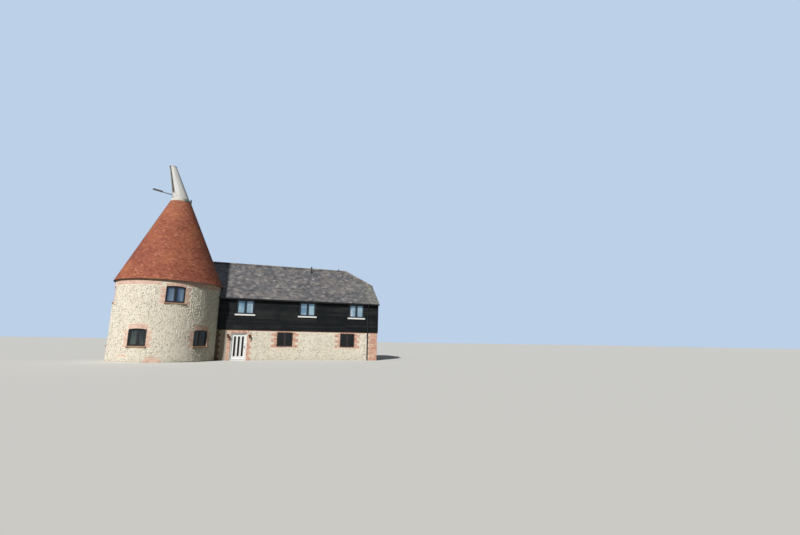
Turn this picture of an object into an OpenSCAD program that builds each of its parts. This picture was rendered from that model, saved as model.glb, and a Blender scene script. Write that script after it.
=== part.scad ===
// Oast house: a round kiln with a turning cowl, and the long barn beside it.
// Millimetres, +Z up. The origin is on the ground, at the middle of the kiln.
// +X runs along the barn, and the front with the door faces -Y.

/* [Kiln] */
// Outside radius of the round kiln wall
kiln_r = 3500; // [3350:10:3650]
// Thickness of the kiln wall
kiln_wall_t = 450; // [380:10:500]
// Height of the kiln wall, up to the eaves
kiln_h = 5580; // [5450:10:5750]
// How far the cone's tiles reach past the kiln wall
kiln_overhang = 155; // [100:5:220]
// Height of the tiled cone
cone_h = 6540; // [6000:10:7000]
// Outside radius of the cone at its top
cone_top_r = 765; // [720:5:840]
// Thickness of the cone, from its tiles to the inside of its rafters
cone_t = 160; // [120:5:200]
// Height of the timber plate that the rafters stand on
cone_plate_h = 100; // [60:5:150]
// Depth of the timber plate across the wall
cone_plate_w = 300; // [260:5:340]

/* [Kiln windows] */
// Width of a kiln window
kiln_win_w = 1220; // [1000:10:1300]
// Height of a kiln window, to the top of its arch
kiln_win_h = 1150; // [950:10:1250]
// Rise of the arched head
kiln_win_rise = 65; // [40:5:90]
// Height of the lower windows above the ground
kiln_low_z = 1075; // [950:5:1200]
// Height of the wall over the upper windows
kiln_up_head = 400; // [350:10:500]
// Depth of the reveal outside the window frame
kiln_reveal = 120; // [90:5:160]
// Direction of the upper front window, turned from the front
kiln_axis_dir = 15.5; // [12:0.5:18]
// Turn from the upper front window to the lower window on each side
kiln_low_turn = 34; // [32:0.5:36]
// Turn between the upper front window and the one at the side
kiln_up_turn = 90; // [87:0.5:93]
// Thickness of a kiln sill
kiln_sill_t = 90; // [60:5:120]
// Length of a kiln sill past each side of its window
kiln_sill_ear = 60; // [40:5:80]
// How far a kiln sill stands out of the wall
kiln_sill_out = 45; // [25:5:70]

/* [Inner doorways] */
// Width of the opening between kiln and barn
inner_door_w = 950; // [800:10:1050]
// Height of that opening above the floor
inner_door_h = 2000; // [1900:10:2020]
// Direction of that opening, turned from the front
inner_door_dir = 135; // [130:1:140]

/* [Cowl] */
// Radius of the cowl where it stands on the kerb
cowl_r = 610; // [560:5:640]
// Radius of the cowl at its top
cowl_top_r = 250; // [200:5:300]
// Height of the cowl
cowl_h = 2550; // [2300:10:2700]
// How far the top leans towards the open side
cowl_lean = 850; // [750:10:900]
// Thickness of the cowl's boards
cowl_t = 25; // [20:1:35]
// Number of boards around the cowl
cowl_boards = 32; // [24:4:40]
// Width of the open side at the top of the cowl
cowl_mouth_w = 330; // [260:10:380]
// Width of the open side at its foot
cowl_mouth_foot_w = 640; // [520:10:760]
// Height of the boards below the open side
cowl_apron_h = 420; // [320:10:520]
// Depth of the cap over the open side
cowl_cap_h = 60; // [40:5:90]
// Direction of the open side, turned from the front
cowl_dir = -65; // [-75:1:-55]
// Height of the lead-covered kerb that the cowl turns on
kerb_h = 270; // [220:5:320]
// Thickness of the kerb
kerb_t = 60; // [50:5:80]
// How far the kerb reaches up inside the cowl's foot
kerb_lap = 60; // [40:5:80]
// Height of the kerb's outer edge, and its ledge outside the cowl
kerb_edge = 40; // [25:5:60]
// Running gap between the cowl and what stays still
cowl_gap = 15; // [10:1:25]
// Radius of the turning post
post_r = 50; // [40:1:60]
// Length of the turning post above the cowl's foot
post_up = 700; // [600:10:800]
// Width and depth of the arms between post and hood
arm_w = 90; // [70:5:110]
// Length of the turning post below the cowl's foot
post_drop = 1500; // [1200:10:1700]
// Width of the beams that carry the post
beam_w = 150; // [130:5:180]
// Depth of the beams that carry the post
beam_h = 175; // [150:5:200]
// Length of the vane from the turning axis
vane_len = 2050; // [1800:10:2200]
// Height of the vane board
vane_h = 95; // [75:5:120]
// Thickness of the vane board
vane_t = 40; // [30:1:50]
// Rise of the vane along its length, in degrees
vane_rise = 4; // [2:0.5:6]

/* [Barn] */
// Length of the barn, from the middle of the kiln
barn_l = 16300; // [15900:50:16800]
// Width of the barn over its stone walls
barn_w = 8680; // [8400:20:8900]
// Distance of the front wall's face in front of the kiln's middle
barn_front = 390; // [300:10:480]
// Thickness of the stone walls
stone_t = 400; // [340:10:450]
// Height of the stone walls, up to the boarding
stone_h = 2340; // [2320:5:2400]
// Thickness of the timber wall behind the boards
frame_wall_t = 200; // [160:5:220]
// How far the boarded wall stands out over the stone
board_out = 25; // [10:5:40]
// Thickness of the ground floor above ground level
ground_floor_t = 50; // [30:5:60]
// Thickness of the upper floor
upper_floor_t = 220; // [180:5:260]
// Running gap and bedding gap between pieces
bed_gap = 0.5; // [0.3:0.1:0.8]

/* [Barn roof] */
// Height of the roof's edge above the stone walls
eave_h = 2450; // [2430:5:2560]
// How far the roof reaches past the stone wall's face
eave_out = 250; // [200:10:300]
// Rise of the roof from its edge to the ridge
roof_rise = 3430; // [3210:10:3610]
// How far the roof reaches past the end walls
verge_out = 100; // [60:5:150]
// Distance of the ridge's end behind the roof's end
hip_run = 2200; // [1900:20:2400]
// Drop from the ridge to the half-hip's lower edge
hip_drop = 1630; // [1470:10:1820]
// Upright thickness of the roof, from slates to rafters
roof_t = 190; // [160:5:220]
// Upright thickness of slates and battens at the edge
slate_t = 40; // [30:5:50]
// Depth of the eaves board below the roof's edge
fascia_h = 95; // [75:5:110]
// How far the slates reach over the gutter
slate_over = 55; // [40:5:70]
// Radius of the ridge tiles
ridge_tile_r = 125; // [100:5:150]
// Thickness of the ridge tiles
ridge_tile_t = 20; // [15:1:25]
// Gap between the barn's roof and the kiln
valley_gap = 20; // [10:1:30]

/* [Barn windows] */
// Width of an upper window
up_win_w = 1290; // [1150:10:1350]
// Height of an upper window
up_win_h = 1120; // [1000:10:1130]
// Height of the upper windows above the upper floor
up_win_sill = 1010; // [940:5:1030]
// Width of a lower window
low_win_w = 1240; // [1100:10:1300]
// Height of a lower window
low_win_h = 1140; // [1000:10:1180]
// Height of the wall over the lower windows
low_win_head = 120; // [90:5:160]
// Depth of the reveal outside a lower window frame
low_reveal = 60; // [40:5:100]
// Middle of the first upper window along the front
up_win_x1 = 5440; // [5300:10:5600]
// Distance of the second upper window from the barn's right end
up_win2_in = 6035; // [5900:5:6200]
// Distance of the third upper window from the barn's right end
up_win3_in = 1900; // [1800:10:2050]
// Distance of the first lower window from the barn's right end
low_win1_in = 7710; // [7600:10:7850]
// Distance of the second lower window from the barn's right end
low_win2_in = 2600; // [2450:10:2750]
// Middle of the first windows along the back
back_win_x1 = 2400; // [2200:20:2600]
// Middle of the second windows along the back
back_win_x2 = 6640; // [6400:20:6900]
// Place of the windows in the left end, behind the kiln
left_win_y = 6000; // [5800:20:6200]
// Thickness of a white sill under an upper window
sill_t = 110; // [80:5:130]
// How far a white sill stands out of the boarding
sill_out = 85; // [60:5:110]
// Length of a white sill past each side of its window
sill_ear = 110; // [80:5:140]
// Width of a window's outer frame
win_frame_w = 60; // [50:1:70]
// Width of the opening light's own frame
sash_w = 52; // [40:1:60]
// Width of the post between the two lights
win_post_w = 80; // [60:1:100]
// Depth of a window frame
win_frame_d = 90; // [70:1:110]
// How far the opening light's face stands back
sash_back = 15; // [8:1:25]
// Thickness of the sealed panes
pane_t = 24; // [16:1:32]

/* [Front door] */
// Middle of the front door along the front
door_x = 5137; // [5050:1:5250]
// Width of the door frame
door_w = 1200; // [1100:10:1260]
// Height of the wall over the door frame
door_head_h = 240; // [190:10:340]
// Width of the door frame's posts
door_post_w = 85; // [70:1:100]
// Depth of the door frame
door_frame_d = 120; // [100:5:150]
// Height of the threshold
door_sill_h = 60; // [52:1:80]
// Depth of the reveal outside the door frame
door_reveal = 60; // [40:5:100]
// Thickness of the door leaf
leaf_t = 55; // [45:1:65]
// Running gap around the door leaf
leaf_gap = 9; // [8:0.5:12]
// Width of each tall pane in the door
door_pane_w = 155; // [120:5:170]
// Distance between the middles of the tall panes
door_pane_pitch = 288; // [265:1:300]
// Height of the leaf below the tall panes
door_low_rail = 254; // [200:1:300]
// Height of the leaf above the tall panes
door_top_rail = 168; // [120:1:200]
// Thickness of the door's panes
door_pane_t = 20; // [12:1:28]
// Height of the door handle
handle_z = 1060; // [950:10:1100]
// Distance of the handle from the leaf's free edge
handle_in = 55; // [50:1:60]
// Width of the handle's plate
handle_plate_w = 40; // [30:1:50]
// Height of the handle's plate
handle_plate_h = 240; // [160:5:260]
// Thickness of the handle's plate
handle_plate_t = 6; // [3:0.5:8]
// Distance of the lever from its plate
lever_out = 40; // [30:1:50]
// Length of the lever
lever_len = 110; // [90:5:130]
// Height of the lever
lever_h = 20; // [14:1:24]
// Height of each half of a door hinge
hinge_h = 45; // [35:1:60]
// Radius of a hinge's knuckles
hinge_r = 7; // [6:0.5:7.5]
// Radius of a hinge's pin
hinge_pin_r = 3.5; // [2.5:0.1:4]
// Width of a hinge's plates
hinge_plate_w = 36; // [25:1:45]
// Thickness of a hinge's plates
hinge_plate_t = 3; // [2:0.5:4]
// Running gap between the halves of a hinge
hinge_gap = 0.3; // [0.2:0.1:0.5]

/* [Rainwater and fittings] */
// Radius of the gutters
gutter_r = 55; // [45:1:62]
// Thickness of gutter and pipe walls
gutter_t = 4; // [3:0.5:6]
// Radius of the downpipes
pipe_r = 34; // [30:1:40]
// Distance of the downpipes from the barn's right end
pipe_in = 900; // [800:10:1000]
// Distance from the wall's face to the pipe's middle
pipe_out = 110; // [95:5:130]
// Height of the downpipe's foot above the ground
pipe_foot = 60; // [40:5:120]
// Height of the clips that hold a downpipe to the wall
pipe_clip_h = 40; // [25:1:50]
// Height of the slanting piece between downpipe and gutter
pipe_bend_h = 350; // [250:10:450]
// Radius of the soil vent pipe
vent_r = 55; // [45:1:60]
// Distance of the soil vent from the barn's right end
vent_in = 5430; // [5300:10:5600]
// Distance of the soil vent in front of the ridge
vent_front = 600; // [450:10:700]
// Height of the soil vent's top above the ridge
vent_top = 150; // [100:10:250]
// Distance of the small vent from the barn's right end
vent2_in = 2700; // [2550:10:2850]
// Distance of the small vent behind the ridge
vent2_back = 400; // [300:10:500]
// Height of the small vent's top above the ridge
vent2_top = 270; // [200:10:320]
// Distance of the wall lamps from the middle of the door
lamp_x = 785; // [740:5:830]
// Height of the lanterns' arms
lamp_z = 1990; // [1900:10:2040]
// Distance of the lanterns' middles from the wall
lamp_out = 170; // [150:5:200]
// Width of a lantern under its roof
lamp_w = 160; // [130:5:180]
// Height of a lantern's glass body
lamp_h = 190; // [150:5:220]

/* [Hidden] */
// Fineness of the large round walls, and of small round parts
big_fn = 256;
small_fn = 32;
// Sides of the ridge tiles, gutters and pipes
trim_fn = 12;
// Cuts run past the faces they open by this much
past = 100;

// Levels and faces of the barn
front_face = -barn_front;
back_face = front_face + barn_w;
ridge_y = front_face + barn_w / 2;
upper_floor_z = stone_h + upper_floor_t;
eave_z = stone_h + eave_h;
ridge_z = eave_z + roof_rise;
hip_z = ridge_z - hip_drop;
board_face = front_face - board_out;
eave_y = front_face - eave_out;
roof_x0 = -verge_out;
roof_x1 = barn_l + verge_out;
slope = (ridge_z - eave_z) / (ridge_y - eave_y);
hip_slope = (ridge_z - hip_z) / hip_run;
hip_half = (ridge_z - hip_z) / slope;
hip_reach = 1.3 * hip_run;
soffit_z = eave_z - fascia_h;
fascia_y = eave_y + slate_over;

// The kiln's inside, and the cone's slope
kiln_in_r = kiln_r - kiln_wall_t;
cone_r = kiln_r + kiln_overhang;
cone_slope = cone_h / (cone_r - cone_top_r);
cone_flat_t = cone_t / sin(atan(cone_slope));
cone_top_z = kiln_h + cone_h;
inner_door_half = asin(inner_door_w / 2 / kiln_in_r);
// Turn that a bedding gap takes at the joints of the round wall
seam = asin(bed_gap / kiln_in_r);

// Windows of the kiln: the upper sills' height, and directions turned from the front
kiln_up_z = kiln_h - kiln_up_head - kiln_win_h;
hidden_dir = -150;
kiln_low_dirs = [
    kiln_axis_dir + kiln_low_turn, kiln_axis_dir - kiln_low_turn,
    kiln_axis_dir - 3 * kiln_low_turn, hidden_dir
];
kiln_up_dirs = [kiln_axis_dir, kiln_axis_dir - kiln_up_turn, hidden_dir];
// Joints between the kiln's wall segments, which miss every window
wall_cuts = [-175, -115, -45, -1.5, 32.5, 75];

// Windows of the barn: their heights, and their places along the front and back
up_win_z = upper_floor_z + up_win_sill;
low_win_z = stone_h - low_win_head - low_win_h;
up_win_x2 = barn_l - up_win2_in;
up_win_x3 = barn_l - up_win3_in;
up_front_xs = [up_win_x1, up_win_x2, up_win_x3];
low_front_xs = [barn_l - low_win1_in, barn_l - low_win2_in];
back_xs = [back_win_x1, back_win_x2, up_win_x2, up_win_x3];

// Places of the downpipes and the vents along the barn
pipe_x = barn_l - pipe_in;
vent_x = barn_l - vent_in;
vent2_x = barn_l - vent2_in;

// The cowl's foot, and what the kerb leaves free inside it
cowl_z = cone_top_z + kerb_h;
board_flat = cos(180 / cowl_boards);
kerb_r = cowl_in_r(kerb_lap) - cowl_shift(kerb_lap) - cowl_gap;

// Inner radius of the leaning hood, and the shift of its middle, at a height over its foot
function cowl_in_r(h) = (cowl_r - cowl_t - (cowl_r - cowl_top_r) * h / cowl_h) * board_flat;
function cowl_shift(h) = cowl_lean * h / cowl_h;

// Moves and profiles that several pieces share
// Turns a piece that is drawn at the front to its direction around the kiln
module toward(dir) {
    rotate([0, 0, dir]) children();
}

// A flat outline in X and Z, made solid from y0 over len
module along_y(y0, len) {
    translate([0, y0 + len, 0]) rotate([90, 0, 0]) linear_extrude(len) children();
}

// A flat outline in Y and Z, made solid from x0 over len
module along_x(x0, len) {
    translate([x0, 0, 0]) rotate([90, 0, 90]) linear_extrude(len) children();
}

// A window's outline from its lower edge, drawn inwards by inset
module window_outline(w, h, rise, inset = 0) {
    arc_r = rise > 0 ? (w * w / 4 + rise * rise) / (2 * rise) : 0;
    if (rise > 0)
        intersection() {
            translate([-w / 2 + inset, inset]) square([w - 2 * inset, h - inset]);
            translate([0, h - arc_r]) circle(arc_r - inset, $fn = big_fn);
        }
    else
        translate([-w / 2 + inset, inset]) square([w - 2 * inset, h - 2 * inset]);
}

// One light of a two-light window: side is -1 or 1
module light_outline(w, h, rise, inset, half_post, side) {
    intersection() {
        window_outline(w, h, rise, inset);
        translate([side > 0 ? half_post : -w, 0]) square([w - half_post, h]);
    }
}

// A two-light frame whose outer face is at y = 0, reaching back from there
module window_frame(w, h, rise) {
    glass_edge = win_frame_w + sash_w;
    glass_post = win_post_w / 2 + sash_w;
    difference() {
        along_y(0, win_frame_d) window_outline(w, h, rise);
        for (side = [-1, 1]) {
            along_y(-past, past + sash_back)
                light_outline(w, h, rise, win_frame_w, win_post_w / 2, side);
            along_y(-past, win_frame_d + 2 * past)
                light_outline(w, h, rise, glass_edge, glass_post, side);
        }
    }
}

// The two panes that fill such a frame
module window_panes(w, h, rise) {
    for (side = [-1, 1])
        along_y((win_frame_d + sash_back - pane_t) / 2, pane_t)
            light_outline(w, h, rise, win_frame_w + sash_w, win_post_w / 2 + sash_w, side);
}

// Puts a window that is drawn at y = 0 in each place of a kiln row
module at_kiln_windows(face = kiln_r - kiln_reveal) {
    for (dir = kiln_low_dirs) toward(dir) translate([0, -face, kiln_low_z]) children();
    for (dir = kiln_up_dirs) toward(dir) translate([0, -face, kiln_up_z]) children();
}

// Puts a window that is drawn at y = 0 in each upper place of the barn
module at_up_windows(face = board_out + sash_back) {
    for (x = up_front_xs) translate([x, front_face - face, up_win_z]) children();
    for (x = back_xs)
        translate([x, back_face + face, up_win_z]) rotate([0, 0, 180]) children();
    translate([barn_l + face, ridge_y, up_win_z]) rotate([0, 0, 90]) children();
    translate([-face, left_win_y, up_win_z]) rotate([0, 0, -90]) children();
}

// Puts a window that is drawn at y = 0 in each lower place of the barn
module at_low_windows(face = -low_reveal) {
    for (x = low_front_xs) translate([x, front_face - face, low_win_z]) children();
    for (x = back_xs)
        translate([x, back_face + face, low_win_z]) rotate([0, 0, 180]) children();
    translate([barn_l + face, ridge_y, low_win_z]) rotate([0, 0, 90]) children();
    translate([-face, left_win_y, low_win_z]) rotate([0, 0, -90]) children();
}

module up_window_holes() {
    at_up_windows() along_y(-past, frame_wall_t + 3 * past)
        window_outline(up_win_w, up_win_h, 0);
}

module low_window_holes() {
    at_low_windows() along_y(-2 * past, stone_t + 3 * past)
        window_outline(low_win_w, low_win_h, 0);
}

// The round kiln and its cone as one solid, grown by gap, for what fits against them
module kiln_space(gap) {
    cone_gap = gap / sin(atan(cone_slope));
    rotate_extrude($fn = big_fn)
        polygon([
            [0, -past], [kiln_r + gap, -past], [kiln_r + gap, kiln_h - gap],
            [cone_r + cone_gap, kiln_h - gap], [cone_r + cone_gap, kiln_h],
            [cone_top_r + cone_gap, cone_top_z], [0, cone_top_z]
        ]);
}

// Kiln walls
// A part of the kiln's wall between two directions
module kiln_segment(from_dir, to_dir, z0 = 0, z1 = kiln_h) {
    color("antiquewhite") difference() {
        rotate([0, 0, from_dir + seam / 2 - 90])
            rotate_extrude(angle = to_dir - from_dir - seam, $fn = big_fn)
                translate([kiln_in_r, z0]) square([kiln_wall_t, z1 - z0]);
        at_kiln_windows()
            along_y(-2 * past - kiln_reveal, kiln_wall_t + 4 * past)
                window_outline(kiln_win_w, kiln_win_h, kiln_win_rise);
        at_kiln_windows() kiln_sill(bed_gap);
    }
}

module kiln_wall_back_left() { kiln_segment(wall_cuts[0], wall_cuts[1]); }
module kiln_wall_left() { kiln_segment(wall_cuts[1], wall_cuts[2]); }
module kiln_wall_front_left() { kiln_segment(wall_cuts[2], wall_cuts[3]); }
module kiln_wall_front() { kiln_segment(wall_cuts[3], wall_cuts[4]); }
module kiln_wall_front_right() { kiln_segment(wall_cuts[4], wall_cuts[5]); }
module kiln_wall_inner_right() {
    kiln_segment(wall_cuts[5], inner_door_dir - inner_door_half);
}
module kiln_wall_inner_back() {
    kiln_segment(inner_door_dir + inner_door_half, wall_cuts[0] + 360);
}

// The wall over each of the two doorways between kiln and barn
module kiln_doorway_heads() {
    from_dir = inner_door_dir - inner_door_half;
    to_dir = inner_door_dir + inner_door_half;
    kiln_segment(from_dir, to_dir, ground_floor_t + inner_door_h, upper_floor_z);
    kiln_segment(from_dir, to_dir, upper_floor_z + inner_door_h, kiln_h);
}

// A tile sill under a kiln window, drawn from the window's place
module kiln_sill(gap = 0) {
    half = kiln_win_w / 2 + kiln_sill_ear + gap;
    depth = kiln_reveal + kiln_sill_out + win_frame_d;
    translate([-half, -kiln_reveal - kiln_sill_out, -kiln_sill_t - gap])
        cube([2 * half, depth, kiln_sill_t + gap]);
}

module kiln_window_sills() {
    color("indianred") at_kiln_windows() kiln_sill();
}

// Kiln floors
module kiln_ground_floor() {
    color("lightgray") {
        cylinder(r = kiln_in_r - bed_gap, h = ground_floor_t, $fn = big_fn);
        rotate([0, 0, inner_door_dir - inner_door_half + seam / 2 - 90])
            rotate_extrude(angle = 2 * inner_door_half - seam, $fn = big_fn)
                translate([kiln_in_r / 2, 0])
                    square([kiln_r - bed_gap - kiln_in_r / 2, ground_floor_t]);
    }
}

module kiln_upper_floor() {
    color("burlywood") translate([0, 0, stone_h])
        cylinder(r = kiln_in_r - bed_gap, h = upper_floor_t, $fn = big_fn);
}

// The tiled cone on its timber plate
module kiln_roof() {
    plate_r = kiln_r - cone_plate_w;
    plate_z = kiln_h + bed_gap;
    plate_top = kiln_h + cone_plate_h;
    color("sienna") rotate_extrude($fn = big_fn)
        polygon([
            [plate_r, plate_z], [cone_r - bed_gap / cone_slope, plate_z],
            [cone_top_r, cone_top_z],
            [cone_top_r - cone_flat_t, cone_top_z],
            [cone_r - cone_flat_t - cone_plate_h / cone_slope, plate_top],
            [plate_r, plate_top]
        ]);
}

// Cowl: what stays still
// A lead-covered ring at the top of the cone, over which the cowl turns
module cowl_kerb() {
    foot_z = cone_top_z + bed_gap;
    apron_z = cowl_z - cowl_gap;
    color("slategray") rotate_extrude($fn = big_fn)
        polygon([
            [kerb_r - kerb_t, foot_z], [cone_top_r, foot_z],
            [cone_top_r, cone_top_z + kerb_edge], [cowl_r + kerb_edge, apron_z],
            [kerb_r, apron_z], [kerb_r, cowl_z + kerb_lap],
            [kerb_r - kerb_t, cowl_z + kerb_lap]
        ]);
}

// Two beams across the kiln's throat, with the holes in which the post turns
module cowl_beams() {
    beam_r = cone_top_r - cone_flat_t;
    low_z = cowl_z - post_drop;
    color("saddlebrown") for (z = [cone_top_z - beam_h, low_z])
        difference() {
            reach = beam_r + (cone_top_z - z) / cone_slope + past;
            intersection() {
                translate([-reach, -beam_w / 2, z]) cube([2 * reach, beam_w, beam_h]);
                cone_inside();
            }
            translate([0, 0, z + (z == low_z ? beam_h / 2 : -past)])
                cylinder(r = post_r + 0.5, h = beam_h + 2 * past, $fn = small_fn);
        }
}

// The hollow of the cone, which the beams reach across
module cone_inside() {
    inset = cone_flat_t + bed_gap;
    rotate_extrude($fn = big_fn)
        polygon([
            [0, kiln_h], [cone_r - inset, kiln_h],
            [cone_top_r - inset, cone_top_z], [0, cone_top_z]
        ]);
}

// Cowl: what turns
// A leaning cone of boards, drawn inwards by inset and carried down by drop
module cowl_form(inset, drop = 0) {
    hull() {
        translate([0, 0, cowl_z - drop]) rotate([0, 0, 180 / cowl_boards])
            cylinder(r = cowl_r - inset, h = drop + 1, $fn = cowl_boards);
        translate([0, -cowl_lean, cowl_z + cowl_h - 1]) rotate([0, 0, 180 / cowl_boards])
            cylinder(r = cowl_top_r - inset, h = 1, $fn = cowl_boards);
    }
}

// The boarded hood with its open side and the cap over it
module cowl_hood() {
    color("white") toward(cowl_dir) difference() {
        cowl_form(0);
        difference() {
            cowl_form(cowl_t, past);
            translate([-2 * cowl_r, -4 * cowl_r, cowl_z + cowl_h - cowl_cap_h])
                cube([4 * cowl_r, 6 * cowl_r, cowl_cap_h + past]);
        }
        cowl_mouth();
    }
}

// The open side of the hood, cut in its leaning front half
module cowl_mouth() {
    top_h = cowl_h - cowl_cap_h;
    hull() {
        translate([-cowl_mouth_foot_w / 2, -3 * cowl_r, cowl_z + cowl_apron_h])
            cube([cowl_mouth_foot_w, 3 * cowl_r - cowl_shift(cowl_apron_h), 1]);
        translate([-cowl_mouth_w / 2, -3 * cowl_r, cowl_z + top_h - 1])
            cube([cowl_mouth_w, 3 * cowl_r - cowl_shift(top_h), 1]);
    }
}

// The post that the cowl turns on, with the cross pieces that carry the hood
module cowl_post() {
    foot_z = cowl_z - post_drop + beam_h / 2 + bed_gap;
    arm_z0 = kerb_lap + 2 * cowl_gap;
    arm_z1 = arm_z0 + arm_w;
    front = cowl_in_r(arm_z0) + cowl_shift(arm_z0);
    back = cowl_in_r(arm_z1) - cowl_shift(arm_z1);
    side = sqrt(pow(cowl_in_r(arm_z1), 2) - pow(cowl_shift(arm_z1) + arm_w / 2, 2));
    color("burlywood") toward(cowl_dir) {
        translate([0, 0, foot_z])
            cylinder(r = post_r, h = cowl_z + post_up - foot_z, $fn = small_fn);
        translate([-arm_w / 2, -front, cowl_z + arm_z0]) cube([arm_w, front + back, arm_w]);
        translate([-side, -arm_w / 2, cowl_z + arm_z0]) cube([2 * side, arm_w, arm_w]);
        translate([-arm_w / 2, 0, cowl_z + post_up - arm_w])
            cube([arm_w, cowl_in_r(post_up) - cowl_shift(post_up), arm_w]);
    }
}

// The long thin vane with its thicker carved end, on the open side
module cowl_vane() {
    thin = vane_h / 2;
    carve_y = -vane_len * 0.68;
    color("gray") toward(cowl_dir) difference() {
        translate([0, 0, cowl_z + cowl_apron_h / 2]) rotate([-vane_rise, 0, 0])
            along_x(-vane_t / 2, vane_t) polygon([
                [0, -thin], [0, thin], [carve_y + vane_h, thin / 2], [carve_y, vane_h],
                [-vane_len + vane_h, vane_h], [-vane_len, thin], [-vane_len, -thin / 2],
                [-vane_len + vane_h, -vane_h / 2], [carve_y, -thin],
                [carve_y + vane_h, -thin / 2]
            ]);
        cowl_form(0);
    }
}

// Stone walls of the barn
module stone_color() { color("antiquewhite") children(); }

// A stretch of the front wall between two places, up to the boarding
module front_stretch(x0, x1, z0 = 0) {
    stone_color() difference() {
        translate([x0, front_face, z0]) cube([x1 - x0, stone_t, stone_h - z0]);
        kiln_space(bed_gap);
        low_window_holes();
    }
}

module front_wall_by_kiln() { front_stretch(0, door_x - door_w / 2); }
module front_wall() { front_stretch(door_x + door_w / 2, barn_l); }
module front_door_head() {
    front_stretch(door_x - door_w / 2, door_x + door_w / 2, door_h);
}

module back_wall() {
    stone_color() difference() {
        translate([0, back_face - stone_t, 0]) cube([barn_l, stone_t, stone_h]);
        low_window_holes();
    }
}

module right_end_wall() {
    stone_color() difference() {
        translate([barn_l - stone_t, front_face + stone_t, 0])
            cube([stone_t, barn_w - 2 * stone_t, stone_h]);
        low_window_holes();
    }
}

module left_end_wall() {
    stone_color() difference() {
        translate([0, 0, 0]) cube([stone_t, back_face - stone_t, stone_h]);
        kiln_space(bed_gap);
        low_window_holes();
    }
}

// Boarded walls of the barn
// Height of the rafters' underside at a distance in from the front or back face
function under_roof(y) =
    eave_z + slope * (min(y, 2 * ridge_y - y) - eave_y) - roof_t - bed_gap;

// A boarded long wall: y0 is its lower Y
module long_boarded_wall(y0) {
    color("dimgray") difference() {
        along_x(-board_out, barn_l + 2 * board_out)
            polygon([
                [y0, stone_h], [y0 + frame_wall_t, stone_h],
                [y0 + frame_wall_t, under_roof(y0 + frame_wall_t)], [y0, under_roof(y0)]
            ]);
        kiln_space(bed_gap);
        up_window_holes();
    }
}

module front_boarded_wall() { long_boarded_wall(board_face); }
module back_boarded_wall() { long_boarded_wall(back_face + board_out - frame_wall_t); }

// A boarded end wall under the half-hip: x0 is its lower X
module boarded_gable(x0) {
    y0 = board_face + frame_wall_t;
    y1 = back_face + board_out - frame_wall_t;
    color("dimgray") difference() {
        along_x(x0, frame_wall_t)
            polygon([
                [y0, stone_h], [y1, stone_h], [y1, under_roof(y1)],
                [ridge_y, under_roof(ridge_y)], [y0, under_roof(y0)]
            ]);
        hip_cut(roof_t + bed_gap);
        kiln_space(bed_gap);
        up_window_holes();
    }
}

module right_boarded_gable() { boarded_gable(barn_l + board_out - frame_wall_t); }
module left_boarded_gable() { boarded_gable(-board_out); }

// All that lies over the two half-hips' planes, lowered by drop
module hip_cut(drop) {
    for (side = [-1, 1])
        translate([(roof_x0 + roof_x1) / 2, 0, 0]) at_end(side)
            translate([(roof_x1 - roof_x0) / 2, 0, 0])
                along_y(front_face - 5 * past, barn_w + 10 * past)
                    polygon([
                        [past, hip_z - drop - hip_slope * past],
                        [past, ridge_z + 10 * past],
                        [-hip_reach, ridge_z + 10 * past],
                        [-hip_reach, hip_z - drop + hip_slope * hip_reach]
                    ]);
}

// Keeps a piece as drawn at the right end, or mirrors it to the left end
module at_end(side) {
    if (side > 0) children();
    else mirror([1, 0, 0]) children();
}

// Barn floors
module barn_floor(z0, t, front, back, left, right) {
    difference() {
        translate([left, front, z0]) cube([right - left, back - front, t]);
        kiln_space(bed_gap);
    }
}

module barn_ground_floor() {
    threshold_y = front_face + door_reveal + door_frame_d;
    color("lightgray") {
        barn_floor(0, ground_floor_t, front_face + stone_t, back_face - stone_t,
            stone_t, barn_l - stone_t);
        translate([door_x - door_w / 2, threshold_y, 0])
            cube([door_w, front_face + stone_t - threshold_y + 1, ground_floor_t]);
    }
}

module barn_upper_floor() {
    inset = frame_wall_t - board_out;
    color("burlywood")
        barn_floor(stone_h, upper_floor_t, front_face + inset, back_face - inset,
            inset, barn_l - inset);
}

// Barn roof
// The front slope's section from the eaves to the ridge
module slope_section() {
    under_y = eave_y + (soffit_z - eave_z + roof_t) / slope;
    polygon([
        [eave_y, eave_z], [ridge_y, ridge_z], [ridge_y, ridge_z - roof_t],
        [under_y, soffit_z], [fascia_y, soffit_z],
        [fascia_y, eave_z + slope * slate_over - slate_t], [eave_y, eave_z - slate_t]
    ]);
}

// The front slope's plan, between the two half-hips
module slope_plan() {
    linear_extrude(ridge_z + past) polygon([
        [roof_x0, eave_y], [roof_x1, eave_y], [roof_x1, ridge_y - hip_half],
        [roof_x1 - hip_run, ridge_y], [roof_x0 + hip_run, ridge_y],
        [roof_x0, ridge_y - hip_half]
    ]);
}

module roof_slope() {
    intersection() {
        along_x(roof_x0, roof_x1 - roof_x0) slope_section();
        slope_plan();
    }
}

module barn_roof_front() {
    color("gray") difference() {
        roof_slope();
        kiln_space(valley_gap);
    }
}

module barn_roof_back() {
    color("gray") translate([0, 2 * ridge_y, 0]) mirror([0, 1, 0]) roof_slope();
}

// The small sloping end of the roof, drawn at the right end
module half_hip() {
    half = hip_half - 2 * bed_gap;
    intersection() {
        along_y(ridge_y - hip_half, 2 * hip_half)
            polygon([
                [roof_x1, hip_z], [roof_x1 - hip_run, ridge_z],
                [roof_x1 - hip_run, ridge_z - roof_t], [roof_x1, hip_z - roof_t]
            ]);
        linear_extrude(ridge_z + past) polygon([
            [roof_x1, ridge_y - half], [roof_x1, ridge_y + half],
            [roof_x1 - hip_run * half / hip_half, ridge_y]
        ]);
    }
}

module half_hips() {
    color("gray") {
        half_hip();
        difference() {
            translate([roof_x0 + roof_x1, 0, 0]) mirror([1, 0, 0]) half_hip();
            kiln_space(valley_gap);
        }
    }
}

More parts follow.
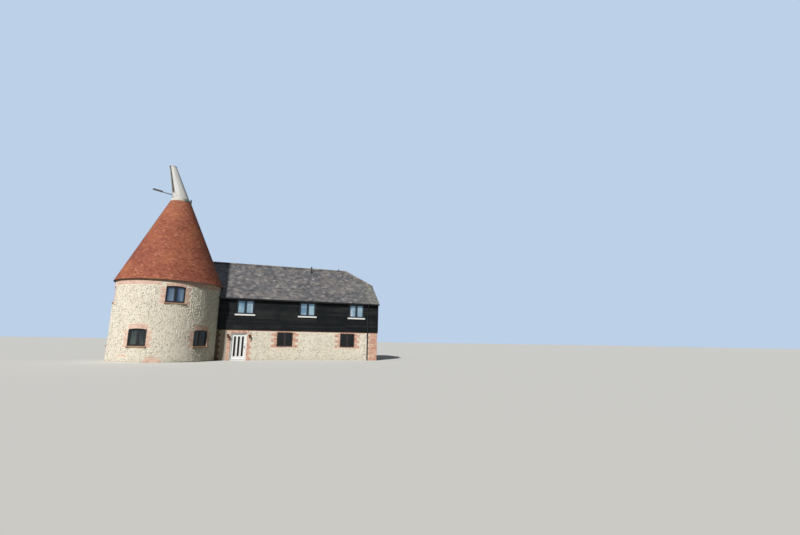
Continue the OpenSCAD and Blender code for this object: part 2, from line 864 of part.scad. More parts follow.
// All that lies under the slates, for the tiles and pipes that stand on them
module roof_volume() {
    difference() {
        along_x(roof_x0 - past, roof_x1 - roof_x0 + 2 * past)
            polygon([
                [eave_y, eave_z], [ridge_y, ridge_z], [2 * ridge_y - eave_y, eave_z]
            ]);
        hip_cut(0);
    }
}

// A bar between two points, carried past both by extra
module edge_bar(from, to, r, extra = 0) {
    d = to - from;
    len = norm(d);
    translate(from) rotate([0, 0, atan2(d.y, d.x)]) rotate([0, 90 - asin(d.z / len), 0])
        translate([0, 0, -extra]) cylinder(r = r, h = len + 2 * extra, $fn = trim_fn);
}

// The ridge and the four hip lines, as bars of one radius
module ridge_lines(r, extra) {
    left_end = [roof_x0 + hip_run, ridge_y, ridge_z];
    right_end = [roof_x1 - hip_run, ridge_y, ridge_z];
    edge_bar(left_end, right_end, r, extra);
    for (side = [-1, 1]) {
        edge_bar([roof_x0, ridge_y + side * hip_half, hip_z], left_end, r, extra);
        edge_bar([roof_x1, ridge_y + side * hip_half, hip_z], right_end, r, extra);
    }
}

// Half-round tiles along the ridge and the hips, open underneath
module ridge_tiles() {
    lap = ridge_tile_r / 3;
    color("dimgray") difference() {
        intersection() {
            ridge_lines(ridge_tile_r, lap);
            translate([roof_x0, ridge_y - hip_half - lap, 0])
                cube([roof_x1 - roof_x0, 2 * (hip_half + lap), 2 * ridge_z]);
        }
        ridge_lines(ridge_tile_r - ridge_tile_t, 0);
        roof_volume();
        kiln_space(valley_gap);
    }
}

// Rainwater goods
// Half-round gutters on the eaves boards, with a pipe down each long wall
module gutters_and_downpipes() {
    color("black") {
        difference() {
            front_rainwater(0);
            kiln_space(valley_gap);
        }
        translate([0, 2 * ridge_y, 0]) mirror([0, 1, 0]) front_rainwater(roof_x0);
    }
}

// The gutter over the front wall from x0 to the roof's right end, and its pipe
module front_rainwater(x0) {
    gutter_y = fascia_y - gutter_r;
    gutter_z = eave_z - slate_t - gutter_t;
    elbow_z = gutter_z - gutter_r - pipe_bend_h;
    pipe_y = front_face - pipe_out;
    clip_w = 2.3 * pipe_r;
    difference() {
        union() {
            translate([x0, gutter_y, gutter_z]) rotate([0, 90, 0])
                cylinder(r = gutter_r, h = roof_x1 - x0, $fn = trim_fn);
            edge_bar([pipe_x, pipe_y, pipe_foot], [pipe_x, pipe_y, elbow_z], pipe_r);
            edge_bar([pipe_x, pipe_y, elbow_z], [pipe_x, gutter_y, gutter_z - gutter_r],
                pipe_r, pipe_r / 3);
            for (z = [stone_h / 5, stone_h * 0.85, stone_h * 1.5])
                translate([pipe_x - clip_w / 2, pipe_y, z])
                    cube([clip_w, pipe_out - bed_gap, pipe_clip_h]);
        }
        translate([x0 + gutter_t, gutter_y, gutter_z]) rotate([0, 90, 0])
            cylinder(r = gutter_r - gutter_t, h = roof_x1 - x0 - 2 * gutter_t, $fn = trim_fn);
        translate([x0 - past, gutter_y - 2 * gutter_r, gutter_z])
            cube([roof_x1 - x0 + 2 * past, 4 * gutter_r, 2 * gutter_r]);
        front_wall_space();
    }
}

// The front walls as plain slabs, for brackets that end on them
module front_wall_space() {
    translate([0, front_face, 0]) cube([barn_l, stone_t, stone_h]);
    translate([0, board_face, stone_h]) cube([barn_l, frame_wall_t, eave_z - stone_h]);
}

// Windows
module kiln_window_frames() {
    color("darkslategray") at_kiln_windows()
        window_frame(kiln_win_w, kiln_win_h, kiln_win_rise);
}

module barn_window_frames() {
    color("darkslategray") {
        at_up_windows() window_frame(up_win_w, up_win_h, 0);
        at_low_windows() window_frame(low_win_w, low_win_h, 0);
    }
}

module window_glass() {
    color("lightsteelblue", 0.5) {
        at_kiln_windows() window_panes(kiln_win_w, kiln_win_h, kiln_win_rise);
        at_up_windows() window_panes(up_win_w, up_win_h, 0);
        at_low_windows() window_panes(low_win_w, low_win_h, 0);
    }
}

// White sills under the upper windows, against the boarding
module barn_window_sills() {
    color("white") at_up_windows()
        translate([-up_win_w / 2 - sill_ear, sash_back - sill_out, -sill_t])
            cube([up_win_w + 2 * sill_ear, sill_out, sill_t]);
}

// Front door
door_h = stone_h - door_head_h;
door_y = front_face + door_reveal;
leaf_x0 = door_x - door_w / 2 + door_post_w + leaf_gap;
leaf_w = door_w - 2 * door_post_w - 2 * leaf_gap;
leaf_z0 = door_sill_h + leaf_gap;
leaf_h = door_h - door_post_w - leaf_gap - leaf_z0;
leaf_y = door_y + door_frame_d - leaf_t;
door_pane_z = leaf_z0 + door_low_rail;
door_pane_h = leaf_h - door_low_rail - door_top_rail;

// Axis of the door's hinges, just inside its frame, and the heights where they meet
hinge_x = leaf_x0 - leaf_gap / 2;
hinge_y = leaf_y + leaf_t + hinge_r + 1;
hinge_zs = [leaf_z0 + 5 * hinge_h, leaf_z0 + leaf_h / 2, leaf_z0 + leaf_h - 5 * hinge_h];

module front_door_frame() {
    color("white") translate([door_x, 0, 0])
        along_y(door_y, door_frame_d) difference() {
            translate([-door_w / 2, 0]) square([door_w, door_h]);
            translate([-door_w / 2 + door_post_w, door_sill_h])
                square([door_w - 2 * door_post_w, door_h - door_post_w - door_sill_h]);
        }
}

module door_pane_outlines() {
    for (i = [-1, 0, 1])
        translate([door_x + i * door_pane_pitch - door_pane_w / 2, door_pane_z])
            square([door_pane_w, door_pane_h]);
}

module front_door_leaf() {
    color("white") difference() {
        translate([leaf_x0, leaf_y, leaf_z0]) cube([leaf_w, leaf_t, leaf_h]);
        along_y(leaf_y - past, leaf_t + 2 * past) door_pane_outlines();
    }
}

module front_door_glass() {
    color("lightsteelblue", 0.5)
        along_y(leaf_y + (leaf_t - door_pane_t) / 2, door_pane_t) door_pane_outlines();
}

// Half a hinge: a knuckle and its plate towards -X, from the height z0
module hinge_half(z0) {
    plate_y = -hinge_r - 1;
    translate([0, 0, z0]) cylinder(r = hinge_r, h = hinge_h, $fn = small_fn);
    translate([-leaf_gap / 2 - hinge_plate_w, plate_y, z0])
        cube([leaf_gap / 2 + hinge_plate_w, hinge_plate_t, hinge_h]);
}

// The hinges' lower halves on the frame, each with the pin that carries the leaf
module front_door_hinges() {
    color("silver") for (z = hinge_zs) translate([hinge_x, hinge_y, z]) {
        hinge_half(-hinge_h);
        cylinder(r = hinge_pin_r, h = hinge_h, $fn = small_fn);
    }
}

// What is fixed to the leaf: the hinges' upper halves and the lever handles
module front_door_furniture() {
    color("silver") {
        for (z = hinge_zs) translate([hinge_x, hinge_y, z]) difference() {
            mirror([1, 0, 0]) hinge_half(hinge_gap);
            translate([0, 0, -1])
                cylinder(r = hinge_pin_r + hinge_gap, h = hinge_h + 2, $fn = small_fn);
        }
        for (side = [-1, 1]) door_handle(side);
    }
}

// A lever on a plate at the leaf's free edge: side is -1 outside and 1 inside
module door_handle(side) {
    face = leaf_t / 2 + handle_plate_t;
    translate([leaf_x0 + leaf_w - handle_in, leaf_y + leaf_t / 2, handle_z]) on_side(side) {
        translate([-handle_plate_w / 2, leaf_t / 2, -handle_plate_h * 2 / 3])
            cube([handle_plate_w, handle_plate_t, handle_plate_h]);
        translate([0, face, 0]) rotate([-90, 0, 0])
            cylinder(d = lever_h - 2, h = lever_out, $fn = small_fn);
        translate([-lever_len, face + lever_out, -lever_h / 2])
            cube([lever_len + lever_h / 2, lever_h * 0.7, lever_h]);
    }
}

// Keeps a piece as drawn inside the door, or mirrors it to the outside
module on_side(side) {
    if (side > 0) children();
    else mirror([0, 1, 0]) children();
}

// Fittings
// A lantern on an arm each side of the door
module wall_lamps() {
    color("saddlebrown") for (side = [-1, 1])
        translate([door_x + side * lamp_x, front_face, lamp_z]) wall_lamp();
}

// A lantern under the end of its arm, drawn from the middle of its wall plate
module wall_lamp() {
    arm_t = lamp_w * 0.15;
    roof_h = lamp_w * 0.375;
    plate_w = lamp_w * 0.56;
    translate([-plate_w / 2, -arm_t, -2 * plate_w + arm_t]) cube([plate_w, arm_t, 2 * plate_w]);
    translate([-arm_t / 2, -lamp_out, -arm_t / 2]) cube([arm_t, lamp_out - arm_t / 2, arm_t]);
    translate([0, -lamp_out, 0]) {
        translate([0, 0, -arm_t]) cylinder(d = arm_t, h = 2 * arm_t, $fn = small_fn);
        translate([0, 0, -roof_h - arm_t / 2])
            cylinder(r1 = lamp_w * 0.6, r2 = arm_t / 2, h = roof_h, $fn = small_fn);
        translate([0, 0, -roof_h - arm_t / 2 - lamp_h])
            cylinder(r1 = lamp_w * 0.32, r2 = lamp_w / 2, h = lamp_h, $fn = 6);
        translate([0, 0, -roof_h - lamp_h - arm_t * 1.5])
            cylinder(r1 = lamp_w * 0.1, r2 = lamp_w * 0.32, h = arm_t, $fn = small_fn);
    }
}

// The soil vent in front of the ridge and the small vent behind it
module vent_pipes() {
    color("black") difference() {
        union() {
            vent_pipe(vent_x, ridge_y - vent_front, vent_r, ridge_z + vent_top);
            vent_pipe(vent2_x, ridge_y + vent2_back, vent_r, ridge_z + vent2_top);
        }
        roof_volume();
    }
}

// A vent pipe with its collar and rain cap, rising out of the slates
module vent_pipe(x, y, r, top) {
    foot = ridge_z - slope * abs(ridge_y - y);
    collar_r = 1.8 * r;
    cap_r = 1.2 * r;
    translate([x, y, foot - 2 * r]) cylinder(r = r, h = top - foot + 2 * r, $fn = small_fn);
    translate([x, y, foot - 2 * r]) cylinder(r = collar_r, h = 3.2 * r, $fn = small_fn);
    translate([x, y, top - r]) cylinder(r = cap_r, h = r, $fn = small_fn);
}

kiln_wall_front();
kiln_wall_front_left();
kiln_wall_left();
kiln_wall_back_left();
kiln_wall_front_right();
kiln_wall_inner_right();
kiln_wall_inner_back();
kiln_doorway_heads();
kiln_ground_floor();
kiln_upper_floor();
kiln_roof();
cowl_kerb();
cowl_beams();
cowl_hood();
cowl_post();
cowl_vane();
front_wall_by_kiln();
front_wall();
front_door_head();
right_end_wall();
back_wall();
left_end_wall();
front_boarded_wall();
back_boarded_wall();
right_boarded_gable();
left_boarded_gable();
barn_ground_floor();
barn_upper_floor();
barn_roof_front();
barn_roof_back();
half_hips();
ridge_tiles();
gutters_and_downpipes();
kiln_window_frames();
barn_window_frames();
window_glass();
kiln_window_sills();
barn_window_sills();
front_door_frame();
front_door_hinges();
front_door_leaf();
front_door_glass();
front_door_furniture();
wall_lamps();
vent_pipes();
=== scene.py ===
"""Looks of the oast house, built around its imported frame. Metres, +Z up, the front faces -Y."""

import random
from collections import namedtuple
from math import acos, asin, atan2, ceil, copysign, cos, degrees, hypot, pi, radians, sin, sqrt, tan

import bmesh
import bpy
import numpy as np
from mathutils import Matrix, Vector


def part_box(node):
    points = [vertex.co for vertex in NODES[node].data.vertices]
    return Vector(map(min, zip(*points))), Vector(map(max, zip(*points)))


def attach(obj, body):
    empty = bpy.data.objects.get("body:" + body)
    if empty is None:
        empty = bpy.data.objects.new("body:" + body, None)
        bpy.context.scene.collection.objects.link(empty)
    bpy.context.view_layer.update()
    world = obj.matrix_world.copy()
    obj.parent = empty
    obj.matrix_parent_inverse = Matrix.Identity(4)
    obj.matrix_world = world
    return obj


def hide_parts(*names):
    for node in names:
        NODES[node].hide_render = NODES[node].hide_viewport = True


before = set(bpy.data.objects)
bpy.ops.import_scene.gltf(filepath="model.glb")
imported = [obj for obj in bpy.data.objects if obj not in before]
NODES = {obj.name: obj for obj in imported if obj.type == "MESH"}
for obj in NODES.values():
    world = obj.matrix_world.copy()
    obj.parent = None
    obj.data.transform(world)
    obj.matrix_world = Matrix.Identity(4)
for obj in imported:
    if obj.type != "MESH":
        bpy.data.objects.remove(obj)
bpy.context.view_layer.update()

UP = Vector((0, 0, 1))

# Sizes of the kiln, its cone and its cowl
KILN_R = -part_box("kiln_wall_left")[0].x
KILN_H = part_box("kiln_wall_left")[1].z
CONE_R = -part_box("kiln_roof")[0].x
CONE_TOP_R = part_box("cowl_kerb")[1].x
CONE_TOP_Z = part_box("kiln_roof")[1].z
CONE_LENGTH = hypot(CONE_R - CONE_TOP_R, CONE_TOP_Z - KILN_H)
CONE_PITCH = atan2(CONE_TOP_Z - KILN_H, CONE_R - CONE_TOP_R)
CONE_WALL = 0.16
PLATE_DEPTH = 0.3
PLATE_H = 0.1
KILN_WINDOW_W = 1.22
KILN_WINDOW_H = 1.15
KILN_WINDOW_RISE = 0.065
KILN_SILL_T = 0.09
KILN_SILL_EAR = 0.06
KILN_SILL_OUT = 0.045
KILN_SILL_DEPTH = 0.21
KILN_LOW_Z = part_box("kiln_window_frames")[0].z
KILN_UP_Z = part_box("kiln_window_frames")[1].z - KILN_WINDOW_H
# Directions of the kiln's windows, in degrees from the front
KILN_AXIS = 15.5
KILN_HIDDEN = -150
KILN_LOW_DIRECTIONS = [KILN_AXIS + 34, KILN_AXIS - 34, KILN_AXIS - 3 * 34, KILN_HIDDEN]
KILN_UP_DIRECTIONS = [KILN_AXIS, KILN_AXIS - 90, KILN_HIDDEN]
KILN_WINDOWS = [(d, KILN_LOW_Z) for d in KILN_LOW_DIRECTIONS]
KILN_WINDOWS += [(d, KILN_UP_Z) for d in KILN_UP_DIRECTIONS]

COWL_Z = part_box("cowl_hood")[0].z
COWL_TOP_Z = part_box("cowl_hood")[1].z
COWL_H = COWL_TOP_Z - COWL_Z
COWL_R = 0.61
COWL_TOP_R = 0.25
COWL_LEAN = 0.85
COWL_T = 0.025
COWL_BOARDS = 32
# The open side's lower and upper end: height over the cowl's foot, and half its width
COWL_MOUTH = ((0.42, 0.32), (2.49, 0.165))
COWL_DIRECTION = -65

# Sizes of the barn
BARN_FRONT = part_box("front_wall")[0].y
BARN_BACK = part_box("back_wall")[1].y
BARN_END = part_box("front_wall")[1].x
STONE_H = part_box("front_wall")[1].z
BOARD_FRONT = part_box("front_boarded_wall")[0].y
BOARD_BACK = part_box("back_boarded_wall")[1].y
BOARD_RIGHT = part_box("right_boarded_gable")[1].x
BOARD_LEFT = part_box("left_boarded_gable")[0].x
SLATE_OVER = 0.055
ROOF_T = 0.19
HIP_RUN = 2.2
HIP_DROP = 1.63
FASCIA_H = 0.095
_, EAVE_Y, SOFFIT_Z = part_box("barn_roof_front")[0]
ROOF_RIGHT, RIDGE_Y, RIDGE_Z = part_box("barn_roof_front")[1]
ROOF_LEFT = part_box("barn_roof_back")[0].x
EAVE_Z = SOFFIT_Z + FASCIA_H
ROOF_RUN, ROOF_RISE = RIDGE_Y - EAVE_Y, RIDGE_Z - EAVE_Z
SLOPE = ROOF_RISE / ROOF_RUN
HIP_Z = RIDGE_Z - HIP_DROP
HIP_HALF = HIP_DROP / SLOPE
UP_WINDOW_W, UP_WINDOW_H = 1.29, 1.12
LOW_WINDOW_W, LOW_WINDOW_H = 1.24, 1.14
LOW_WINDOW_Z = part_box("barn_window_frames")[0].z
UP_WINDOW_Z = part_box("barn_window_frames")[1].z - UP_WINDOW_H
UP_SILL_T = 0.11
DOOR_X = 5.137
DOOR_W = 1.2
DOOR_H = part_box("front_door_frame")[1].z
GUTTER_R = 0.055
GUTTER_Y = EAVE_Y + SLATE_OVER - GUTTER_R
GUTTER_Z = EAVE_Z - 0.044
KILN_JOINS_FRONT = sqrt(KILN_R ** 2 - BARN_FRONT ** 2)

# Bricks and their joints
STRETCHER = 0.225
HEADER = 0.1125
JOINT = 0.01
COURSE = 0.075
BRICK_DEPTH = 0.1
BRICK_PROUD = 0.007
BRICK_WEAR = 0.005
# How far bricks reach into the opening that they surround, and how unevenly they lie
BRICK_SET = 0.003
BRICK_UNEVEN = 0.002


class Nodes:
    """Adds nodes to a tree, each of them wired or set in one call."""

    def __init__(self, tree):
        self.tree = tree

    def wire(self, value, socket):
        if isinstance(value, bpy.types.NodeSocket):
            self.tree.links.new(value, socket)
        else:
            socket.default_value = value

    def add(self, kind, wires=None, **settings):
        node = self.tree.nodes.new(kind)
        for key, value in settings.items():
            setattr(node, key, value)
        for key, value in (wires or {}).items():
            self.wire(value, node.inputs[key])
        return node

    def math(self, operation, first, second=0.0):
        return self.add("ShaderNodeMath", {0: first, 1: second}, operation=operation).outputs[0]

    def times(self, first, second):
        return self.math("MULTIPLY", first, second)

    def plus(self, first, second):
        return self.math("ADD", first, second)


# Materials. A colour is three numbers as a screen shows it, from 0 to 255.

def srgb(*tint):
    """A colour in the light that a shader works with."""
    def light(value):
        value /= 255
        return value / 12.92 if value <= 0.04045 else ((value + 0.055) / 1.055) ** 2.4
    return tuple(light(value) for value in tint) + (1.0,)


class Finish(Nodes):
    """One material on the Principled shader, put together from short steps."""

    def __init__(self, name, roughness=0.7, metallic=0.0, specular=0.5):
        self.material = bpy.data.materials.new(name)
        self.material.use_nodes = True
        super().__init__(self.material.node_tree)
        self.shader = self.tree.nodes["Principled BSDF"].inputs
        self.shader["Roughness"].default_value = roughness
        self.shader["Metallic"].default_value = metallic
        self.shader["Specular IOR Level"].default_value = specular
        self.object_place = self.add("ShaderNodeTexCoord").outputs["Object"]

    def place(self, stretch):
        wires = {"Vector": self.object_place, "Scale": stretch}
        return self.add("ShaderNodeMapping", wires).outputs["Vector"]

    def noise(self, scale, detail=3.0, stretch=(1, 1, 1)):
        wires = {"Vector": self.place(stretch), "Scale": scale, "Detail": detail, "Roughness": 0.55}
        return self.add("ShaderNodeTexNoise", wires).outputs["Fac"]

    def spots(self, fine, broad):
        """Fine noise in wider patches; each is a scale and a detail."""
        return self.times(self.noise(*fine), self.noise(*broad))

    def cells(self, scale, stretch=(1, 1, 1)):
        wires = {"Vector": self.place(stretch), "Scale": scale}
        return self.add("ShaderNodeTexVoronoi", wires).outputs["Distance"]

    def tone(self):
        """The tone that every brick, tile, slate or flint was given."""
        return self.add("ShaderNodeAttribute", attribute_name="tone").outputs["Fac"]

    def axis(self, name):
        return self.add("ShaderNodeSeparateXYZ", {0: self.object_place}).outputs[name]

    def span(self, value, low, high, to_low=0.0, to_high=1.0):
        wires = {0: value, 1: low, 2: high, 3: to_low, 4: to_high}
        return self.add("ShaderNodeMapRange", wires).outputs[0]

    def ramp(self, value, *stops):
        """Colours along a value; each stop is its position and its tint."""
        node = self.add("ShaderNodeValToRGB", {"Fac": value})
        elements = node.color_ramp.elements
        while len(elements) < len(stops):
            elements.new(0.5)
        for element, (position, *tint) in zip(elements, stops):
            element.position, element.color = position, srgb(*tint)
        return node.outputs["Color"]

    def mix(self, share, *colours):
        """The share of a second colour in a first; each is a tint or a socket."""
        node = self.add("ShaderNodeMix", {0: share}, data_type="RGBA")
        for value, socket in zip(colours, (node.inputs[6], node.inputs[7])):
            self.wire(srgb(*value) if isinstance(value, tuple) else value, socket)
        return node.outputs[2]

    def stain(self, body, tint, value, *limits):
        """A tint over a body colour, as far as the span of a value gives it."""
        return self.mix(self.span(value, *limits), body, tint)

    def roughness(self, value, *limits):
        self.wire(self.span(value, *limits), self.shader["Roughness"])

    def done(self, body, height, strength, distance):
        """The material, with its colour and its bump."""
        self.wire(body, self.shader["Base Color"])
        wires = {"Height": height, "Strength": strength, "Distance": distance}
        self.wire(self.add("ShaderNodeBump", wires).outputs["Normal"], self.shader["Normal"])
        return self.material


def within(finish, radius):
    """1 nearer to the kiln's middle than a radius, and 0 beyond it."""
    flat = finish.place((1, 1, 0))
    reach = finish.add("ShaderNodeVectorMath", {0: flat}, operation="LENGTH").outputs["Value"]
    return finish.span(reach, radius, radius + 0.01, 1.0, 0.0)


def inside_kiln(finish):
    return within(finish, KILN_R - 0.3)


def on_kiln(finish):
    """1 on the kiln's walls and windows, and 0 on the barn's."""
    return within(finish, KILN_R + 0.1)


def inside_barn(finish):
    low = (0.3, BARN_FRONT + 0.3)
    high = (BARN_END - 0.3, BARN_BACK - 0.3)
    shares = []
    for name, start, end in zip("XY", low, high):
        offset = finish.math("SUBTRACT", finish.axis(name), (start + end) / 2)
        reach = (end - start) / 2
        shares.append(
            finish.span(finish.math("ABSOLUTE", offset), reach, reach + 0.01, 1.0, 0.0))
    return finish.times(*shares)


def kiln_corner_shade(finish, body, darkening, near, far, share):
    """Painted shade: darkens the corner where the barn's front wall leaves the kiln, in the kiln's
    shade.
    """
    past_kiln = finish.span(finish.axis("Y"), BARN_FRONT - 0.1, BARN_FRONT - 0.09)
    on_front = finish.span(finish.axis("Y"), BARN_FRONT + 0.15, BARN_FRONT + 0.16, 1.0, 0.0)
    beside = finish.span(
        finish.axis("X"), KILN_JOINS_FRONT + near, KILN_JOINS_FRONT + far, share, 0.0)
    return finish.mix(finish.times(finish.times(past_kiln, on_front), beside), body, darkening)


# Painted shade by the kiln: its darker tint, where it starts to fade and where it ends past the
# kiln's edge, and its share.
CORNER_SHADE_STONE = ((150, 128, 112), 0.75, 0.95, 0.55)
CORNER_SHADE_BRICK = ((66, 42, 37), 0.3, 0.5, 0.85)


def lime_mortar(name, inner):
    """Cream lime mortar with grit; inner gives where the plastered inside begins."""
    finish = Finish(name, roughness=0.9, specular=0.2)
    patches, grit = finish.noise(0.8, 5), finish.cells(38)
    body = finish.ramp(
        patches, (0.3, 232, 223, 206), (0.55, 242, 233, 217), (0.8, 249, 241, 228))
    body = finish.stain(body, (164, 155, 140), grit, 0.12, 0.3, 0.3, 0.0)
    # Damp darkens and greens the foot of the wall.
    darkening = finish.times(finish.span(finish.axis("Z"), 0.05, 0.45, 0.5, 0.0), patches)
    body = finish.mix(darkening, body, (164, 160, 134))
    # Painted shade in the corner beside the kiln.
    body = kiln_corner_shade(finish, body, *CORNER_SHADE_STONE)
    body = finish.mix(inner(finish), body, (226, 222, 214))
    return finish.done(body, finish.plus(finish.noise(45), finish.times(grit, 0.6)), 0.5, 0.006)


def flint():
    finish = Finish("flint", roughness=0.6, specular=0.4)
    tone, mottle = finish.tone(), finish.noise(28, 4)
    cortex = finish.ramp(
        tone, (0.0, 248, 243, 232), (0.45, 244, 237, 222), (0.72, 236, 228, 212),
        (0.87, 223, 215, 200), (0.96, 201, 194, 183), (1.0, 166, 160, 152))
    broken = finish.mix(finish.span(mottle, 0.46, 0.6), (174, 168, 158), cortex)
    body = finish.mix(finish.span(tone, 0.3, 0.85, 0.92, 0.5), broken, cortex)
    finish.roughness(tone, 0.7, 1.0, 0.75, 0.4)
    # Painted shade on the flints in the corner beside the kiln.
    return finish.done(kiln_corner_shade(finish, body, *CORNER_SHADE_STONE), mottle, 0.5, 0.01)


def soft_brick():
    """Orange bricks with bloom, and worn limewash on those of the kiln."""
    finish = Finish("soft_brick", roughness=0.85, specular=0.25)
    body = finish.ramp(
        finish.tone(), (0.0, 178, 113, 93), (0.2, 203, 138, 114), (0.55, 220, 162, 137),
        (0.8, 230, 181, 158), (1.0, 238, 205, 186))
    speckle, bloom = finish.noise(60, 4), finish.noise(5, 5)
    body = finish.stain(body, (148, 88, 70), speckle, 0.35, 0.6, 0.3, 0.0)
    body = finish.stain(body, (232, 212, 192), bloom, 0.45, 0.7, 0.0, 0.6)
    limewash = finish.times(on_kiln(finish), finish.span(bloom, 0.3, 0.6, 0.3, 0.6))
    body = finish.mix(limewash, body, (242, 216, 200))
    # Painted shade on the bricks in the corner beside the kiln.
    return finish.done(kiln_corner_shade(finish, body, *CORNER_SHADE_BRICK), speckle, 0.6, 0.004)


def clay_tile():
    """Hand-made clay tiles: each has its own tone, and weather shades them in wide patches."""
    finish = Finish("clay_tile", roughness=0.8, specular=0.25)
    body = finish.ramp(
        finish.tone(), (0.0, 128, 71, 55), (0.15, 145, 83, 63), (0.5, 157, 92, 71),
        (0.85, 168, 101, 79), (0.96, 178, 113, 89), (1.0, 188, 128, 102))
    patches, height = finish.noise(0.6, 4), finish.axis("Z")
    body = finish.stain(body, (186, 118, 82), patches, 0.5, 0.66, 0.0, 0.5)
    body = finish.stain(body, (136, 74, 62), patches, 0.47, 0.32, 0.0, 0.5)
    body = finish.stain(body, (184, 124, 94), height, CONE_TOP_Z - 2.2, CONE_TOP_Z, 0.0, 0.35)
    body = finish.stain(body, (112, 74, 60), finish.noise(2.6, 5), 0.56, 0.78, 0.0, 0.5)
    lichen = finish.spots((26, 3), (2.1, 2))
    body = finish.stain(body, (188, 152, 122), lichen, 0.36, 0.43, 0.0, 0.4)
    return finish.done(body, finish.noise(50, 4), 0.4, 0.004)


def slate():
    """Old slates with lichen and paler replacements."""
    finish = Finish("slate", roughness=0.6, specular=0.25)
    body = finish.ramp(
        finish.tone(), (0.0, 69, 69, 72), (0.3, 84, 84, 87), (0.65, 97, 96, 99),
        (0.88, 108, 106, 108), (0.96, 128, 124, 122), (1.0, 152, 146, 142))
    patches, along = finish.noise(0.7, 5), finish.axis("X")
    lichen, spots = finish.spots((27, 4), (2.3, 3)), finish.spots((34, 2), (3.1, 2))
    body = finish.stain(body, (132, 126, 122), patches, 0.5, 0.7, 0.0, 0.5)
    body = finish.stain(body, (86, 85, 88), patches, 0.46, 0.3, 0.0, 0.4)
    body = finish.stain(body, (170, 165, 160), lichen, 0.29, 0.35, 0.0, 0.65)
    body = finish.stain(body, (158, 144, 138), spots, 0.34, 0.4, 0.0, 0.45)
    body = finish.stain(body, (134, 138, 126), along, BARN_END - 2.2, BARN_END, 0.0, 0.3)
    finish.roughness(patches, 0.3, 0.7, 0.5, 0.8)
    return finish.done(body, finish.noise(22, 6, (1, 1, 2)), 0.35, 0.005)


def ridge_clay():
    """Grey ridge tiles, each with its own tone, with dirt on them."""
    finish = Finish("ridge_clay", roughness=0.8, specular=0.2)
    body = finish.ramp(
        finish.tone(), (0.0, 92, 88, 88), (0.5, 114, 109, 107), (1.0, 140, 131, 126))
    dirt = finish.noise(6, 5)
    body = finish.stain(body, (160, 154, 142), dirt, 0.5, 0.75, 0.0, 0.6)
    body = finish.stain(body, (78, 76, 76), dirt, 0.45, 0.3, 0.0, 0.5)
    return finish.done(body, finish.noise(40, 4), 0.4, 0.004)


def black_boards():
    """Boards stained black, with the grain along them and a dull sheen."""
    finish = Finish("black_boards", roughness=0.6, specular=0.1)
    grain = finish.noise(3.0, 6, (1, 1, 26))
    body = finish.ramp(grain, (0.3, 16, 18, 19), (0.55, 25, 28, 30), (0.8, 41, 45, 46))
    worn = finish.times(finish.noise(0.9, 4), finish.span(finish.tone(), 0, 1, 0.4, 1.0))
    body = finish.stain(body, (54, 55, 54), worn, 0.3, 0.6, 0.0, 0.6)
    finish.roughness(grain, 0.3, 0.8, 0.42, 0.68)
    return finish.done(body, grain, 0.45, 0.004)


def white_boards():
    """White paint on the cowl's boards, with grain showing and a little weather."""
    finish = Finish("white_boards", roughness=0.55, specular=0.4)
    grain = finish.noise(2.5, 5, (14, 14, 0.7))
    body = finish.ramp(grain, (0.25, 217, 217, 216), (0.5, 236, 236, 235), (0.8, 245, 245, 244))
    body = finish.stain(body, (184, 180, 168), finish.tone(), 0.0, 1.0, 0.0, 0.3)
    low = finish.span(finish.axis("Z"), COWL_Z, COWL_Z + 0.5, 0.35, 0.0)
    body = finish.mix(finish.times(low, finish.noise(6, 3)), body, (150, 152, 140))
    return finish.done(body, grain, 0.3, 0.003)


def paint(name, tint, roughness=0.4, streak=0.12, stretch=(4, 4, 1)):
    """Brushed paint: the tint with faint dirt and streaks."""
    finish = Finish(name)
    darker = tuple(value * 0.72 for value in tint)
    body = finish.stain(tint, darker, finish.noise(5, 5, stretch), 0.45, 0.85, 0.0, 4 * streak)
    finish.roughness(finish.noise(12, 3), 0.3, 0.7, roughness, roughness + 0.15)
    return finish.done(body, finish.noise(90, 2), 0.08, 0.002)


def window_paint():
    """Dark paint, bluer on the upper windows and browner on the lower ones."""
    finish = Finish("dark_frames", roughness=0.35)
    body = finish.mix(finish.span(finish.axis("Z"), 3.2, 3.3), (42, 32, 28), (22, 34, 46))
    body = finish.mix(on_kiln(finish), body, (30, 29, 31))
    body = finish.stain(body, (78, 76, 74), finish.noise(8, 4), 0.5, 0.8, 0.0, 0.5)
    return finish.done(body, finish.noise(80, 2), 0.08, 0.002)


def glass(name):
    """Sealed panes with painted reflections: pale sky on the upper ones, dark ground on the lower
    ones.
    """
    finish = Finish(name, roughness=0.06, specular=0.4)
    high, kiln = finish.span(finish.axis("Z"), 3.2, 3.3), on_kiln(finish)
    wave = finish.span(finish.noise(1.6, 2), 0.35, 0.65)
    folds = finish.span(finish.noise(3.2, 3, (1.6, 1.6, 0.12)), 0.42, 0.62)
    # Painted reflection of the pale sky on the barn's upper panes, with pale curtain linings.
    upper = finish.mix(wave, (120, 154, 174), (178, 202, 210))
    lining = finish.noise(1.3, 2, (1, 1, 0.3))
    upper = finish.stain(upper, (208, 216, 222), lining, 0.54, 0.62)
    # Painted reflection of the dark ground on the barn's lower panes and the door's panes.
    lower = finish.mix(wave, (14, 14, 12), (28, 27, 24))
    # The kiln's panes: painted blue-grey sky reflection on the upper ones, dark on the lower ones,
    # both with pale curtain folds.
    kiln_upper = finish.mix(folds, (74, 94, 124), (132, 152, 166))
    kiln_lower = finish.mix(folds, (34, 38, 40), (92, 102, 100))
    body = finish.mix(
        high, finish.mix(kiln, lower, kiln_lower), finish.mix(kiln, upper, kiln_upper))
    finish.wire(finish.span(high, 0, 1, 0.1, 0.4), finish.shader["Metallic"])
    return finish.done(body, finish.noise(2.2, 1), 0.04, 0.01)


